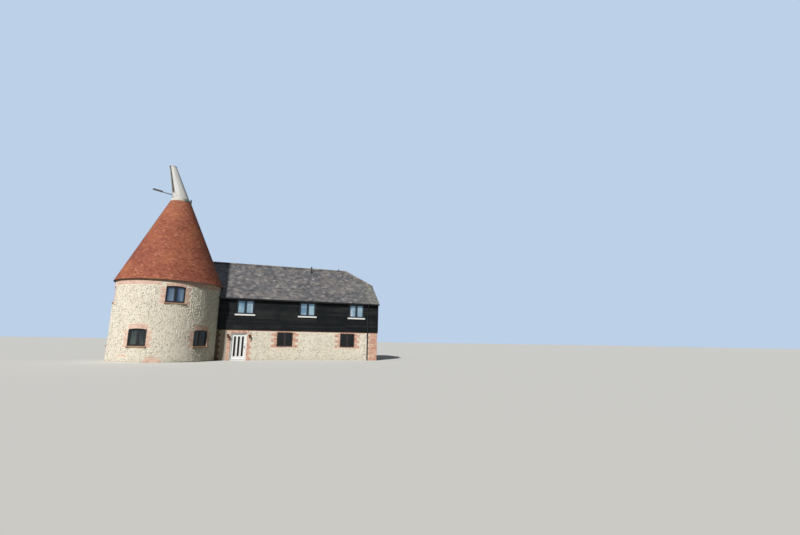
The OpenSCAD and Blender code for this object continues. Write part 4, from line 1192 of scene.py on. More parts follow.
def flints(kiln_claims, barn_claims):
    """The flint facings of the kiln's outside and of the barn's four walls."""
    tree, lumps = flint_tree(), flint_lumps()

    def on_round(x, z):
        return KILN_R * sin(x / KILN_R), -KILN_R * cos(x / KILN_R), z
    flint_facing("kiln_flints", tree, lumps, [flint_cells(
        on_round, KILN_R * radians(KILN_START), KILN_R * radians(KILN_END), FLINT_LOW,
        KILN_H - BAND_COURSES * COURSE - KILN_TOP_MARGIN, kiln_claims)], 3)
    flint_facing("barn_flints", tree, lumps, [
        flint_cells(
            face.at, *WALL_ENDS[name], FLINT_LOW, STONE_H - COURSE - BARN_TOP_MARGIN,
            barn_claims[name])
        for name, face in STONE_FACES.items()
    ], 4)
    bpy.data.collections.remove(lumps)


# The cone's tiles

TILE_W = 0.165
TILE_L = 0.265
TILE_T = 0.012
TILE_GAUGE = 0.1
TILE_CAMBER = 0.003
TILE_BED = 0.047
TILE_GAP = 0.004
TILE_CORNERS = 12
# How deep under the barn's roof a tile is left out
TILE_HIDDEN = 0.2
CONE_SIDES = 128


def on_cone(s, depth):
    """Radius and height at s up the cone's slope, and at a depth under its tiles."""
    radius = CONE_R - s * cos(CONE_PITCH) - depth * sin(CONE_PITCH)
    height = KILN_H + s * sin(CONE_PITCH) - depth * cos(CONE_PITCH)
    return radius, height


def clay_tile_shape():
    """One tile with a slight camber; its head lies deeper than its tail."""
    shape = Shape(31)
    half, fall = TILE_W / 2 - TILE_GAP / 2, TILE_T / TILE_GAUGE
    shape.add([
        (x, y, camber - fall * y - drop) for y in (0.0, TILE_L) for drop in (0.0, TILE_T)
        for x, camber in ((-half, 0), (0, TILE_CAMBER), (half, 0))
    ], [
        (0, 1, 7, 6), (1, 2, 8, 7), (4, 3, 9, 10), (5, 4, 10, 11), (3, 4, 1, 0), (4, 5, 2, 1),
        (6, 7, 10, 9), (7, 8, 11, 10), (3, 0, 6, 9), (2, 5, 11, 8),
    ])
    return shape.source("clay_tile")


def round_tree():
    """Pieces in courses round the kiln's axis, as many in each course as its length takes."""
    tree = Tree(
        "round_courses", courses=int, foot_radius=float, radius_step=float, foot_height=float,
        height_step=float, width=float, pitch=float, wobble=float, piece=bpy.types.Object)

    def radius(course):
        return tree.math("SUBTRACT", tree["foot_radius"], tree.times(course, tree["radius_step"]))

    def count(course):
        around = tree.times(radius(course), 2 * pi)
        return tree.math("ROUND", tree.math("DIVIDE", around, tree["width"]))
    points, course, place = tree.courses(tree["courses"], count)
    reach, number = radius(course), count(course)
    angle = tree.times(tree.math("DIVIDE", place, number), 2 * pi)
    spot = tree.vector(
        tree.times(reach, tree.math("SINE", angle)),
        tree.times(reach, tree.times(tree.math("COSINE", angle), -1.0)),
        tree.plus(tree["foot_height"], tree.times(course, tree["height_step"])))
    turn = tree.then(tree.turn(x=tree["pitch"], z=angle), tree.wobble())
    fit = tree.math("DIVIDE", tree.times(reach, 2 * pi), tree.times(number, tree["width"]))
    tree.lay(points, "piece", turn, tree.vector(fit, 1.0, 1.0), spot)
    return tree


def cone_roof(rounds):
    """The cone's clay tiles, and the battened timber under them."""
    radius, height = on_cone(0.0, 0.005)
    mesh = rounds.grow(
        courses=int(CONE_LENGTH / TILE_GAUGE), foot_radius=radius,
        radius_step=TILE_GAUGE * cos(CONE_PITCH), foot_height=height,
        height_step=TILE_GAUGE * sin(CONE_PITCH), width=TILE_W, pitch=CONE_PITCH, wobble=0.012,
        piece=clay_tile_shape(), seed=7, material=CLAY)
    drop_islands(mesh, TILE_CORNERS, lambda centre: hidden_in_barn(centre, TILE_HIDDEN))
    settle(mesh, "cone_tiles", "house", [CLAY])
    under = Shape(32)
    plate_r, plate_top = KILN_R - PLATE_DEPTH, KILN_H + PLATE_H
    inner = CONE_WALL / sin(CONE_PITCH)
    profile = [
        (plate_r, KILN_H + 0.001), on_cone(0.012, 0.018), on_cone(TILE_L, TILE_BED),
        on_cone(CONE_LENGTH, TILE_BED), (CONE_TOP_R - inner, CONE_TOP_Z),
        (CONE_R - inner - PLATE_H / tan(CONE_PITCH), plate_top), (plate_r, plate_top),
    ]
    n = len(profile)
    under.add([
        (r * cos(a), r * sin(a), z) for a in round_angles(CONE_SIDES) for r, z in profile
    ], [
        (i * n + j, k * n + j, k * n + (j + 1) % n, i * n + (j + 1) % n)
        for i, k in ((i, (i + 1) % CONE_SIDES) for i in range(CONE_SIDES)) for j in range(n)
    ])
    under.piece(
        "cone_timber", "house", "clay_tiles", DARK_TIMBER, replaced=["kiln_roof"], smooth=True)


def roof_bed(y):
    """Height of the slates' bed at a distance back from the kiln's middle."""
    return EAVE_Z + SLOPE * (min(y, 2 * RIDGE_Y - y) - EAVE_Y)


def hip_bed(x):
    """Height of the half-hips' bed at a distance along the barn."""
    return HIP_Z + HIP_DROP / HIP_RUN * min(x - ROOF_LEFT, ROOF_RIGHT - x)


def slates_bed(point):
    """Height of the slates' bed over or under a point."""
    return min(roof_bed(point[1]), hip_bed(point[0]))


def hidden_in_barn(point, depth):
    """Whether a point lies this deep under the barn's roof."""
    x, y, z = point
    inside = x > ROOF_LEFT + depth / 2 and y > BARN_FRONT + depth / 2
    return inside and z < slates_bed(point) - depth


def drop_islands(mesh, corners, hidden):
    """Deletes the repeated pieces of a mesh that are hidden, each of so many corners."""
    points = np.empty(len(mesh.vertices) * 3, np.float32)
    mesh.vertices.foreach_get("co", points)
    centres = points.reshape(-1, corners, 3).mean(axis=1)
    doomed = {i for i, centre in enumerate(centres) if hidden(centre)}
    form = editable(mesh)
    bmesh.ops.delete(
        form, geom=[v for v in form.verts if v.index // corners in doomed], context="VERTS")
    finished(form, mesh)


# Slates of the barn

SLATE_W = 0.25
SLATE_L = 0.5
SLATE_T = 0.008
SLATE_GAUGE = 0.215
SLATE_GAP = 0.003
SLATE_CORNERS = 8
VALLEY_GAP = 0.02
# Both ends of the roof, each with its way out along X, and how far slates stop short of them
ROOF_ENDS = ((ROOF_LEFT, -1), (ROOF_RIGHT, 1))
VERGE_TRIM = 0.004


def slate_shape():
    """One slate: its tail is raised by the slates under it."""
    shape = Shape(41)
    fall, half = SLATE_T / SLATE_GAUGE, SLATE_W / 2 - SLATE_GAP / 2
    low = [
        vec(x, y, fall * SLATE_L - fall * y)
        for x, y in ((-half, 0), (half, 0), (half, SLATE_L), (-half, SLATE_L))
    ]
    shape.add(low + [p + UP * SLATE_T for p in low], BOX_FACES)
    return shape.source("slate")


def slate_tree():
    """Courses of slates on a slope: x along the eaves, y up the slope."""
    tree = Tree(
        "slate_courses", courses=int, per_course=int, slate_width=float, gauge=float,
        wobble=float, slate=bpy.types.Object)
    points, course, place = tree.courses(tree["courses"], lambda course: tree["per_course"])
    spot = tree.vector(
        tree.times(place, tree["slate_width"]),
        tree.plus(tree.times(course, tree["gauge"]), tree.random(-0.004, 0.004, 4)))
    tree.lay(points, "slate", tree.wobble(), spot=spot)
    return tree


def kiln_reach(z):
    """Radius of the kiln or its cone at a height, with the valley's gap."""
    if z < KILN_H:
        return KILN_R + VALLEY_GAP
    return CONE_R - (z - KILN_H) / tan(CONE_PITCH) + VALLEY_GAP


def trim_end(form, end, out):
    cut_off(form, vec(end - out * VERGE_TRIM, 0, 0), vec(out, 0, 0))


def slated_plane(tree, slate, origin, along, up_slope, width, length, seed):
    """A plane of slates, trimmed where the kiln stands."""
    mesh = tree.grow(
        courses=ceil(length / SLATE_GAUGE), per_course=int(width / SLATE_W) + 2,
        slate_width=SLATE_W, gauge=SLATE_GAUGE, wobble=0.006, slate=slate, seed=seed,
        material=SLATE)
    mesh.transform(placing(origin, along, up_slope, along.cross(up_slope)))
    axis = 0 if abs(along.x) > 0.5 else 1
    form = editable(mesh)
    form.verts.ensure_lookup_table()
    covered = []
    for first in range(0, len(form.verts), SLATE_CORNERS):
        corners = form.verts[first:first + SLATE_CORNERS]
        inside = [v for v in corners if hypot(v.co.x, v.co.y) < kiln_reach(v.co.z)]
        if len(inside) == SLATE_CORNERS:
            covered += corners
            continue
        for v in inside:
            room = kiln_reach(v.co.z) ** 2 - v.co[1 - axis] ** 2
            v.co[axis] = sqrt(max(room, 0.0))
    bmesh.ops.delete(form, geom=covered, context="VERTS")
    return form


def barn_slates():
    """Slates on the two long slopes and the two half-hips."""
    tree, slate = slate_tree(), slate_shape()
    slates = Shape(42)
    hip_cuts = {}
    for end, out in ROOF_ENDS:
        for side in (-1, 1):
            across = vec(-out * HIP_RUN, -side * HIP_HALF, 0).normalized().cross(UP)
            corner = vec(end, RIDGE_Y + side * HIP_HALF, HIP_Z)
            hip_cuts[out, side] = (corner, across if across.x * out > 0 else -across)
    for side, seed in ((-1, 51), (1, 52)):
        start = vec(
            ROOF_LEFT - SLATE_W / 3 if side < 0 else ROOF_RIGHT + SLATE_W / 3,
            RIDGE_Y + side * ROOF_RUN, EAVE_Z)
        form = slated_plane(
            tree, slate, start, vec(-side, 0, 0), vec(0, -side * ROOF_RUN, ROOF_RISE).normalized(),
            ROOF_RIGHT - ROOF_LEFT, hypot(ROOF_RUN, ROOF_RISE), seed)
        cut_off(form, vec(0, RIDGE_Y, 0), vec(0, -side, 0))
        for end, out in ROOF_ENDS:
            trim_end(form, end, out)
            cut_off(form, *hip_cuts[out, side])
        slates.take(form)
    for end, out in ROOF_ENDS:
        start = vec(end, RIDGE_Y - out * (HIP_HALF + SLATE_W / 3), HIP_Z)
        form = slated_plane(
            tree, slate, start, vec(0, out, 0), vec(-out * HIP_RUN, 0, HIP_DROP).normalized(),
            2 * HIP_HALF, hypot(HIP_RUN, HIP_DROP), 53 + out)
        for side in (-1, 1):
            corner, across = hip_cuts[out, side]
            cut_off(form, corner, -across)
        trim_end(form, end, out)
        slates.take(form)
    slates.piece("roof_slates", "house", "grey_slates", SLATE)


# Rows along a line: ridge tiles and gutter brackets

RIDGE_TILE_R = 0.125
RIDGE_TILE_T = 0.018
RIDGE_TILE_L = 0.44
RIDGE_TILE_REACH = radians(112)
# The raised rim at each tile's end, and the joint between two tiles
RIDGE_RIM_W = 0.045
RIDGE_RIM_T = 0.006
RIDGE_JOINT = 0.004
HIP_SAMPLES = 60
# Where the first and last fitting of a gutter stand, from its end
GUTTER_END = 0.3
# The gutters' fittings: name, thickness, half the length, spacing and seed
GUTTER_FITTINGS = (("gutter_strap", 0.004, 0.012, 0.85, 1), ("gutter_sleeve", 0.006, 0.05, 4.0, 2))


def row_tree():
    """Pieces in a row from one point to another, turned along it."""
    tree = Tree("row_of_pieces", start=Vector, end=Vector, count=int, piece=bpy.types.Object)
    start, end = tree["start"], tree["end"]
    line = tree.add("GeometryNodeCurvePrimitiveLine", {0: start, 1: end}).outputs[0]
    points = tree.add("GeometryNodeResampleCurve", {0: line, 2: tree["count"]}).outputs[0]
    run = tree.add("ShaderNodeVectorMath", {0: end, 1: start}, operation="SUBTRACT").outputs[0]
    turn = tree.add(
        "FunctionNodeAxesToRotation", {0: run, 1: tuple(UP)}, primary_axis="X",
        secondary_axis="Z").outputs[0]
    tree.lay(points, "piece", turn)
    return tree


def half_round(name, radius, thickness, low, high, from_angle, to_angle, sides=8):
    """Part of a round shell along X, between two angles from straight up."""
    shape = Shape(61)
    angles = spread(from_angle, to_angle, sides)
    section = [(radius, a) for a in angles] + [(radius - thickness, a) for a in reversed(angles)]
    n = len(section)
    faces = [(j, (j + 1) % n, n + (j + 1) % n, n + j) for j in range(n)]
    for first in (0, n):
        faces += [
            (first + j, first + j + 1, first + n - 2 - j, first + n - 1 - j) for j in range(sides)
        ]
    shape.add([(x, r * sin(a), r * cos(a)) for x in (low, high) for r, a in section], faces)
    return shape.source(name)


def ridge_and_hips():
    """Half-round tiles with mortared joints along the ridge and the hips."""
    tree, wide = row_tree(), RIDGE_TILE_REACH
    tile = half_round(
        "ridge_tile", RIDGE_TILE_R - RIDGE_RIM_T, RIDGE_TILE_T, 0.0, RIDGE_TILE_L - RIDGE_JOINT,
        -wide, wide)
    rim = half_round("ridge_rim", RIDGE_TILE_R, RIDGE_TILE_T, 0.0, RIDGE_RIM_W, -wide, wide)
    left_end = vec(ROOF_LEFT + HIP_RUN, RIDGE_Y, RIDGE_Z)
    right_end = vec(ROOF_RIGHT - HIP_RUN, RIDGE_Y, RIDGE_Z)
    lines = [(left_end, right_end)]
    for side in (-1, 1):
        for x, ridge_end in ((ROOF_LEFT + 0.01, left_end), (ROOF_RIGHT - 0.01, right_end)):
            lines.append((vec(x, RIDGE_Y + side * HIP_HALF, HIP_Z), ridge_end))
    tiles = Shape(62)
    for k, (start, end) in enumerate(lines):
        run = end - start
        count = round(run.length / RIDGE_TILE_L)
        for part in (tile, rim):
            form = editable(tree.grow(
                start=start, end=end - run / count, count=count, piece=part, seed=60 + k,
                material=SLATE))
            for roof_end, out in reversed(ROOF_ENDS):
                trim_end(form, roof_end, out)
            for i in range(HIP_SAMPLES):
                point = end - run * (i / HIP_SAMPLES)
                if hypot(point.x, point.y) < kiln_reach(point.z) - RIDGE_TILE_R:
                    cut_off(form, point, -run)
                    break
            tiles.take(form)
    tiles.piece(
        "ridge_and_hip_tiles", "house", "ridge_clay", RIDGE_CLAY, replaced=["ridge_tiles"])


def gutter_brackets():
    """Straps that hold the gutters, and the sleeves that join their lengths."""
    tree, fittings = row_tree(), Shape(71)
    parts = [
        (half_round(name, GUTTER_R + t, t, -reach, reach, pi / 2, 3 * pi / 2, sides=6), gap, seed)
        for name, t, reach, gap, seed in GUTTER_FITTINGS
    ]
    joins = sqrt(KILN_R ** 2 - GUTTER_Y ** 2)
    back_y = 2 * RIDGE_Y - GUTTER_Y - 0.007
    right = ROOF_RIGHT - GUTTER_END
    for y, left in ((GUTTER_Y, joins + GUTTER_END), (back_y, ROOF_LEFT + GUTTER_END)):
        for part, gap, seed in parts:
            fittings.take(editable(tree.grow(
                start=vec(left, y, GUTTER_Z), end=vec(right, y, GUTTER_Z),
                count=round((right - left) / gap) + 1, piece=part, seed=seed,
                material=BLACK_PAINT)))
    fittings.piece("gutter_fittings", "house", "black_pipe", BLACK_PAINT)


# Boards of the barn

BOARD_H = 0.15
BOARD_LAP = 0.03
BOARD_THICK = 0.024
BOARD_THIN = 0.009
BOARD_LENGTHS = (3.0, 4.8)
# The shortest board that a course begins with, and the shortest that it ends with
FIRST_BOARD = 0.6
LAST_BOARD = 0.5
SMALLEST_BOARD = 0.02
BOARD_GAP = 0.002
BOARD_UNEVEN = 0.0015
# How far the boards under a window reach up behind its sill, and their gap over its head
BEHIND_SILL = 0.04
OVER_HEAD = 0.005
SURROUND_W = 0.075
SURROUND_T = 0.03
CORNER_BOARD_W = 0.1


def feather_edge(boards, face, x0, x1, z0, z1):
    """One board, thick at its lower edge and thin at its top."""
    if min(x1 - x0, z1 - z0) < SMALLEST_BOARD:
        return
    thick = BOARD_THICK + boards.draw.uniform(-BOARD_UNEVEN, BOARD_UNEVEN)
    profile = [(0.0, z0), (thick - 0.003, z0), (thick, z0 + 0.004), (BOARD_THIN, z1), (0.0, z1)]
    boards.loft([[face.at(x, z, out) for out, z in profile] for x in (x0, x1)])


def board_course(boards, face, x0, x1, z0, z1):
    """A course of boards with butt joints here and there."""
    x = x0
    length = boards.draw.uniform(FIRST_BOARD, BOARD_LENGTHS[1])
    while x < x1 - 0.01:
        end = x + length
        if x1 - end < LAST_BOARD:
            end = x1
        feather_edge(boards, face, x, end - BOARD_GAP, z0, z1)
        x = end
        length = boards.draw.uniform(*BOARD_LENGTHS)


def board_wall(boards, name, x0, x1, top):
    """All courses of a wall from the stone up to top, with its windows left open."""
    face, half = BOARD_FACES[name], UP_WINDOW_W / 2 + 0.01
    head_z = UP_WINDOW_Z + UP_WINDOW_H
    sill_z = UP_WINDOW_Z - UP_SILL_T
    under_top = sill_z + BEHIND_SILL
    z = STONE_H
    while z < top - SMALLEST_BOARD:
        z1 = min(z + BOARD_H + BOARD_LAP, top)
        stops = [x0]
        for x in sorted(UP_WINDOWS[name]):
            if z1 > under_top and z < head_z:
                stops += [x - half, x + half]
                if z < sill_z:
                    board_course(boards, face, x - half, x + half, z, under_top)
                if z1 > head_z + 2 * OVER_HEAD:
                    board_course(boards, face, x - half, x + half, head_z + OVER_HEAD, z1)
        stops.append(x1)
        for left, right in zip(stops[::2], stops[1::2]):
            board_course(boards, face, left, right, z, z1)
        z += BOARD_H


def window_surround(trim, face, x):
    """Black boards beside an upper window, over the ends of the courses."""
    half = UP_WINDOW_W / 2
    for side in (-1, 1):
        left, right = sorted((x + side * half, x + side * (half + SURROUND_W)))
        trim.loft([
            [face.at(left, z, 0), face.at(right, z, 0), face.at(right, z, SURROUND_T),
             face.at(left, z, SURROUND_T)] for z in (UP_WINDOW_Z, UP_WINDOW_Z + UP_WINDOW_H)
        ])


def barn_boards():
    """Feather-edged boards on all four sides, corner boards and window surrounds."""
    boards, trim = Shape(81), Shape(82)
    wall_top, gable_top = roof_bed(BOARD_FRONT) - ROOF_T, hip_bed(BOARD_RIGHT) - ROOF_T
    kiln_join = sqrt(KILN_R ** 2 - (BOARD_FRONT - BOARD_THICK) ** 2) + 0.01
    left_start = sqrt((KILN_R + 0.01) ** 2 - BOARD_LEFT ** 2)
    board_wall(boards, "front", kiln_join, BOARD_RIGHT, wall_top)
    board_wall(boards, "back", -BOARD_RIGHT, -BOARD_LEFT, wall_top)
    for name, x0, x1 in (("right", BOARD_FRONT, BOARD_BACK), ("left", -BOARD_BACK, -left_start)):
        gable = Shape(83)
        board_wall(gable, name, x0, x1, gable_top)
        form = editable(gable.mesh("gable"))
        for side in (-1, 1):
            edge = vec(0, RIDGE_Y + side * ROOF_RUN, EAVE_Z - ROOF_T + 0.03)
            cut_off(form, edge, vec(0, side * SLOPE, 1))
        boards.take(form)
    for name, face in BOARD_FACES.items():
        for x in UP_WINDOWS[name]:
            window_surround(trim, face, x)
    for x, y, sx, sy in (
        (BOARD_RIGHT, BOARD_FRONT, 1, -1), (BOARD_RIGHT, BOARD_BACK, 1, 1),
        (BOARD_LEFT, BOARD_BACK, -1, 1),
    ):
        for inner_x, *ys in (
            (x - sx * CORNER_BOARD_W, y, y + sy * SURROUND_T), (x, y - sy * CORNER_BOARD_W, y),
        ):
            left, right = sorted((inner_x, x + sx * SURROUND_T))
            trim.box((left, min(ys), STONE_H), (right, max(ys), wall_top))
    boards.piece("feather_edge_boards", "house", "black_boards", BLACK_BOARDS)
    trim.piece("board_trim", "house", "black_boards", BLACK_BOARDS)


# The cowl

CAP_T = 0.026
COWL_GAP = 0.002
MOUTH_SAMPLES = 20
HOOP_HEIGHTS = (0.16, 0.95, 1.75)
HOOP_STEPS = 28
RAIL_STEPS = 10
# Lower and upper end of the plate on the apron, over the cowl's foot
PLATE_HEIGHTS = (0.11, 0.31)
KERB_TOP_R = 0.65
KERB_ROLLS = 12
ROLL_R = 0.013
# The stop block's direction, its distance from the axis, and half its width and thickness
STOP_DIRECTION = 100
STOP_OUT = 0.708
STOP_HALF = (0.055, 0.047)


def cowl_width(h):
    """Half the width of the cowl's open side at a height over its foot."""
    (h0, w0), (h1, w1) = COWL_MOUTH
    return w0 + (w1 - w0) * (h - h0) / (h1 - h0)


def cowl_ring(h, inset=0.0):
    """Radius and shift of the leaning hood at a height over its foot."""
    share = h / COWL_H
    return COWL_R - (COWL_R - COWL_TOP_R) * share - inset, -COWL_LEAN * share


def on_cowl(angle, h, inset=0.0):
    """A point of the leaning hood, with the open side towards -Y."""
    radius, shift = cowl_ring(h, inset)
    return vec(radius * cos(angle), shift + radius * sin(angle), COWL_Z + h)


def cowl_corner(k, h, inset=0.0):
    """A corner of the hood between two boards."""
    return on_cowl((k + 0.5) * 2 * pi / COWL_BOARDS, h, inset)


def before_mouth(x, h, out):
    """A point before the hood's open side, at x from its middle line and out from its edge."""
    radius, shift = cowl_ring(h)
    return vec(x, shift - sqrt(radius ** 2 - x ** 2) - out, COWL_Z + h)


def cowl_board(k):
    """One tapering board of the hood, with a hair's gap to the next."""
    form = bmesh.new()
    verts = []
    for h in (0.0, COWL_H - CAP_T):
        a, b = cowl_corner(k, h), cowl_corner(k + 1, h)
        gap = (b - a).normalized() * COWL_GAP
        inner = (cowl_corner(k + 1, h, COWL_T), cowl_corner(k, h, COWL_T))
        verts += [form.verts.new(p) for p in (a + gap, b - gap, *inner)]
    for face in BOX_FACES:
        form.faces.new([verts[i] for i in face])
    return form


def crosses_mouth(k):
    """Whether a board reaches into the hood's open side."""
    for h in spread(COWL_MOUTH[0][0], COWL_MOUTH[1][0], MOUTH_SAMPLES):
        a, b = cowl_corner(k, h), cowl_corner(k + 1, h)
        if a.y < cowl_ring(h)[1] and min(abs(a.x), abs(b.x)) < cowl_width(h):
            return True
    return False


def cowl_hoop(hood, h):
    """A timber hoop inside the boards, open where the hood is open."""
    start, end = -pi / 2, 1.5 * pi
    if h > COWL_MOUTH[0][0]:
        gap = asin(min(1.0, (cowl_width(h) + 0.03) / cowl_ring(h)[0]))
        start, end = start + gap, end - gap
    section = ((-0.03, 0.03), (0.03, 0.03), (0.03, 0.06), (-0.03, 0.06))
    hood.loft([
        [on_cowl(angle, h + dh, inset) for dh, inset in section]
        for angle in spread(start, end, HOOP_STEPS)
    ])


def apron_rail(hood):
    """The rail on the apron's top edge, under the open side."""
    h, width = COWL_MOUTH[0]
    half = asin(width / cowl_ring(h)[0])
    section = ((-0.02, 0.05), (-0.02, -0.016), (0.014, -0.02), (0.02, 0.05))
    hood.loft([
        [on_cowl(angle, h, inset) + UP * dz for dz, inset in section]
        for angle in spread(-pi / 2 - half, -pi / 2 + half, RAIL_STEPS)
    ])


def cowl_hood():
    """The hood's painted boards, its cap, the edges of its open side and its hoops."""
    hood = Shape(91)
    (low_h, low_w), (high_h, high_w) = COWL_MOUTH
    low, high = UP * (COWL_Z + low_h), UP * (COWL_Z + high_h)
    for k in range(COWL_BOARDS):
        if not crosses_mouth(k):
            hood.take(cowl_board(k))
            continue
        for point, normal in ((low, UP), (high, -UP)):
            board = cowl_board(k)
            cut_off(board, point, normal)
            hood.take(board)
        side = 1 if cowl_corner(k, 1).x + cowl_corner(k + 1, 1).x > 0 else -1
        foot = vec(side * low_w, 0, low.z)
        edge = vec(side * high_w, 0, high.z) - foot
        rest = cowl_board(k)
        cut_off(rest, low, -UP)
        cut_off(rest, high, UP)
        cut_off(rest, foot, vec(-side * edge.z, 0, side * edge.x))
        if len(rest.faces):
            hood.take(rest)
    cap = ((-0.06, COWL_T), (-CAP_T, COWL_T), (-CAP_T, -0.018), (-0.006, -0.02), (0, -0.012))
    hood.loft([
        [on_cowl(a, COWL_H, inset) + UP * dz for a in round_angles(COWL_BOARDS)]
        for dz, inset in cap
    ])
    for side in (-1, 1):
        hood.bar(*(before_mouth(side * width, h, -0.01) for h, width in COWL_MOUTH), 0.045, 0.045)
    for h in HOOP_HEIGHTS:
        cowl_hoop(hood, h)
    apron_rail(hood)
    hood.bar(*(before_mouth(0, h, 0.008) for h in PLATE_HEIGHTS), 0.15, 0.03)
    mesh = hood.mesh("cowl_painted_boards")
    mesh.transform(Matrix.Rotation(radians(COWL_DIRECTION), 4, "Z"))
    settle(mesh, "cowl_painted_boards", "cowl", [WHITE_BOARDS], ["cowl_hood"])


def kerb_rolls(rounds):
    """Lead rolls up the kerb's slope, where its sheets are joined."""
    roll = Shape(95)
    roll.rod([
        (0, y, z) for y, z in ((-0.01, -0.02), (0.0, 0.0), (0.1, 0.003), (0.2, 0.0), (0.21, -0.02))
    ], ROLL_R, 8)
    foot_r, foot_z = CONE_TOP_R - 0.006, CONE_TOP_Z + 0.045
    head_r, head_z = KERB_TOP_R + 0.012, COWL_Z - 0.03
    mesh = rounds.grow(
        courses=1, foot_radius=foot_r, radius_step=0.0, foot_height=foot_z, height_step=0.0,
        width=2 * pi * foot_r / KERB_ROLLS, pitch=atan2(head_z - foot_z, foot_r - head_r),
        wobble=0.01, piece=roll.source("lead_roll"), seed=95, material=KERB_LEAD)
    mesh.polygons.foreach_set("use_smooth", [True] * len(mesh.polygons))
    settle(mesh, "kerb_lead_rolls", "house", [KERB_LEAD])


def stop_block():
    """The dark block on the kerb that keeps the hood in its place in a gale."""
    block = Shape(96)
    place = Matrix.Rotation(radians(STOP_DIRECTION), 4, "Z")
    dx, dy = STOP_HALF
    block.loft([
        [place @ vec(sx * (dx + grow), -STOP_OUT + sy * (dy + grow), z) for sx, sy in SQUARE]
        for z, grow in ((CONE_TOP_Z + 0.09, 0.0), (COWL_Z + 0.115, 0.0), (COWL_Z + 0.13, -0.012))
    ])
    block.piece("kerb_stop_block", "house", "oak", DARK_TIMBER)


# Leadwork where the barn's roof meets the kiln, and round the vents

JUNCTION_STEPS = 60
# The steps that settle the height where the slates meet the kiln
SETTLING_STEPS = 30
# Height over the slates' bed, and depth into the kiln's wall
LEAD_LIFT = 0.03
LEAD_SET = 0.012
# Under the cone's foot and on the cone: how far the lead covers the slates, and its upstand
ON_WALL, ON_CONE = (0.12, 0.1), (0.06, 0.02)
# Half a vent apron's width, and half its length up the slope
APRON_HALF = (0.2, 0.24)
# The vents: distance along and across the barn, and the side of the ridge
VENTS = ((BARN_END - 5.43, RIDGE_Y - 0.6, -1), (BARN_END - 2.7, RIDGE_Y + 0.4, 1))


def junction_lead():
    """A strip of lead on the slates along the kiln, turned up against it."""
    strip = Shape(101)
    rings = []
    start = atan2(EAVE_Y, sqrt(KILN_R ** 2 - EAVE_Y ** 2))
    end = acos((ROOF_LEFT + 0.012) / kiln_reach(HIP_Z))
    for angle in spread(start, end, JUNCTION_STEPS):
        out = towards(angle)
        z = EAVE_Z
        for step in range(SETTLING_STEPS):
            z = 0.5 * z + 0.5 * slates_bed(out * kiln_reach(z))
        near = kiln_reach(z)
        on_wall = z < KILN_H - ON_WALL[1]
        cover, rise = ON_WALL if on_wall else ON_CONE
        lean = 0.0 if on_wall else rise / tan(CONE_PITCH)
        wall, far = out * (near - LEAD_SET), out * (near + cover)
        top = out * (near - LEAD_SET - lean)
        bed, far_bed = z + LEAD_LIFT, slates_bed(far) + LEAD_LIFT
        rings.append([
            far + UP * (far_bed + 0.004), wall + out * 0.02 + UP * (bed + 0.006),
            top + out * 0.008 + UP * (bed + rise), top + UP * (bed + rise),
            wall + UP * (bed - LEAD_LIFT), far + UP * (far_bed - LEAD_LIFT),
        ])
    strip.loft(rings)
    strip.piece("junction_lead", "house", "lead", DARK_LEAD, smooth=True)


def vent_aprons():
    """A square of lead on the slates round each vent pipe."""
    aprons = Shape(102)
    dx, dy = APRON_HALF
    for x, y, side in VENTS:
        up_slope, normal = vec(0, -side, SLOPE).normalized(), vec(0, side * SLOPE, 1).normalized()
        centre = vec(x, y, roof_bed(y)) + normal * 0.028
        aprons.box(
            (-dx, -dy, -0.02), (dx, dy, 0.006), placing(centre, vec(1, 0, 0), up_slope, normal))
    aprons.piece("vent_lead_aprons", "house", "lead", DARK_LEAD)


# The front door and its lanterns

DOOR_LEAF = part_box("front_door_leaf")
DOOR_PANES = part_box("front_door_glass")
PANE_W = 0.155
PANE_PITCH = 0.288
BEAD_W = 0.016
BEAD_OUT = 0.007
LANTERN_SIDE = 0.785
LANTERN_Z = 1.99
LANTERN_OUT = 0.17
# Radius and depth of a lantern's posts at their foot and head, and of the rails between them
LANTERN_FOOT, LANTERN_HEAD, LANTERN_RAIL = (0.0505, 0.262), (0.0755, 0.08), (0.0625, 0.17)
LANTERN_PLATE = (
    (-0.045, -0.075), (-0.02, -0.09), (0.02, -0.09), (0.045, -0.075),
    (0.045, 0.075), (0.02, 0.09), (-0.02, 0.09), (-0.045, 0.075),
)
# The lantern's turned parts: sides, finish, and radius and height from the arm's end
LANTERN_PARTS = (
    (12, 0, ((0.004, -0.028), (0.014, -0.02), (0.01, -0.006), (0.016, 0.006), (0.008, 0.018),
             (0.003, 0.03))),
    (6, 0, ((0.074, -0.078), (0.096, -0.074), (0.09, -0.066), (0.052, -0.045), (0.02, -0.03),
            (0.012, -0.022))),
    (6, 0, ((0.076, -0.085), (0.082, -0.074))),
    (6, 0, ((0.012, -0.302), (0.03, -0.292), (0.054, -0.266), (0.054, -0.258))),
    (10, 0, ((0.004, -0.318), (0.011, -0.31), (0.006, -0.3))),
    (6, 1, ((0.048, -0.258), (0.072, -0.084))),
)


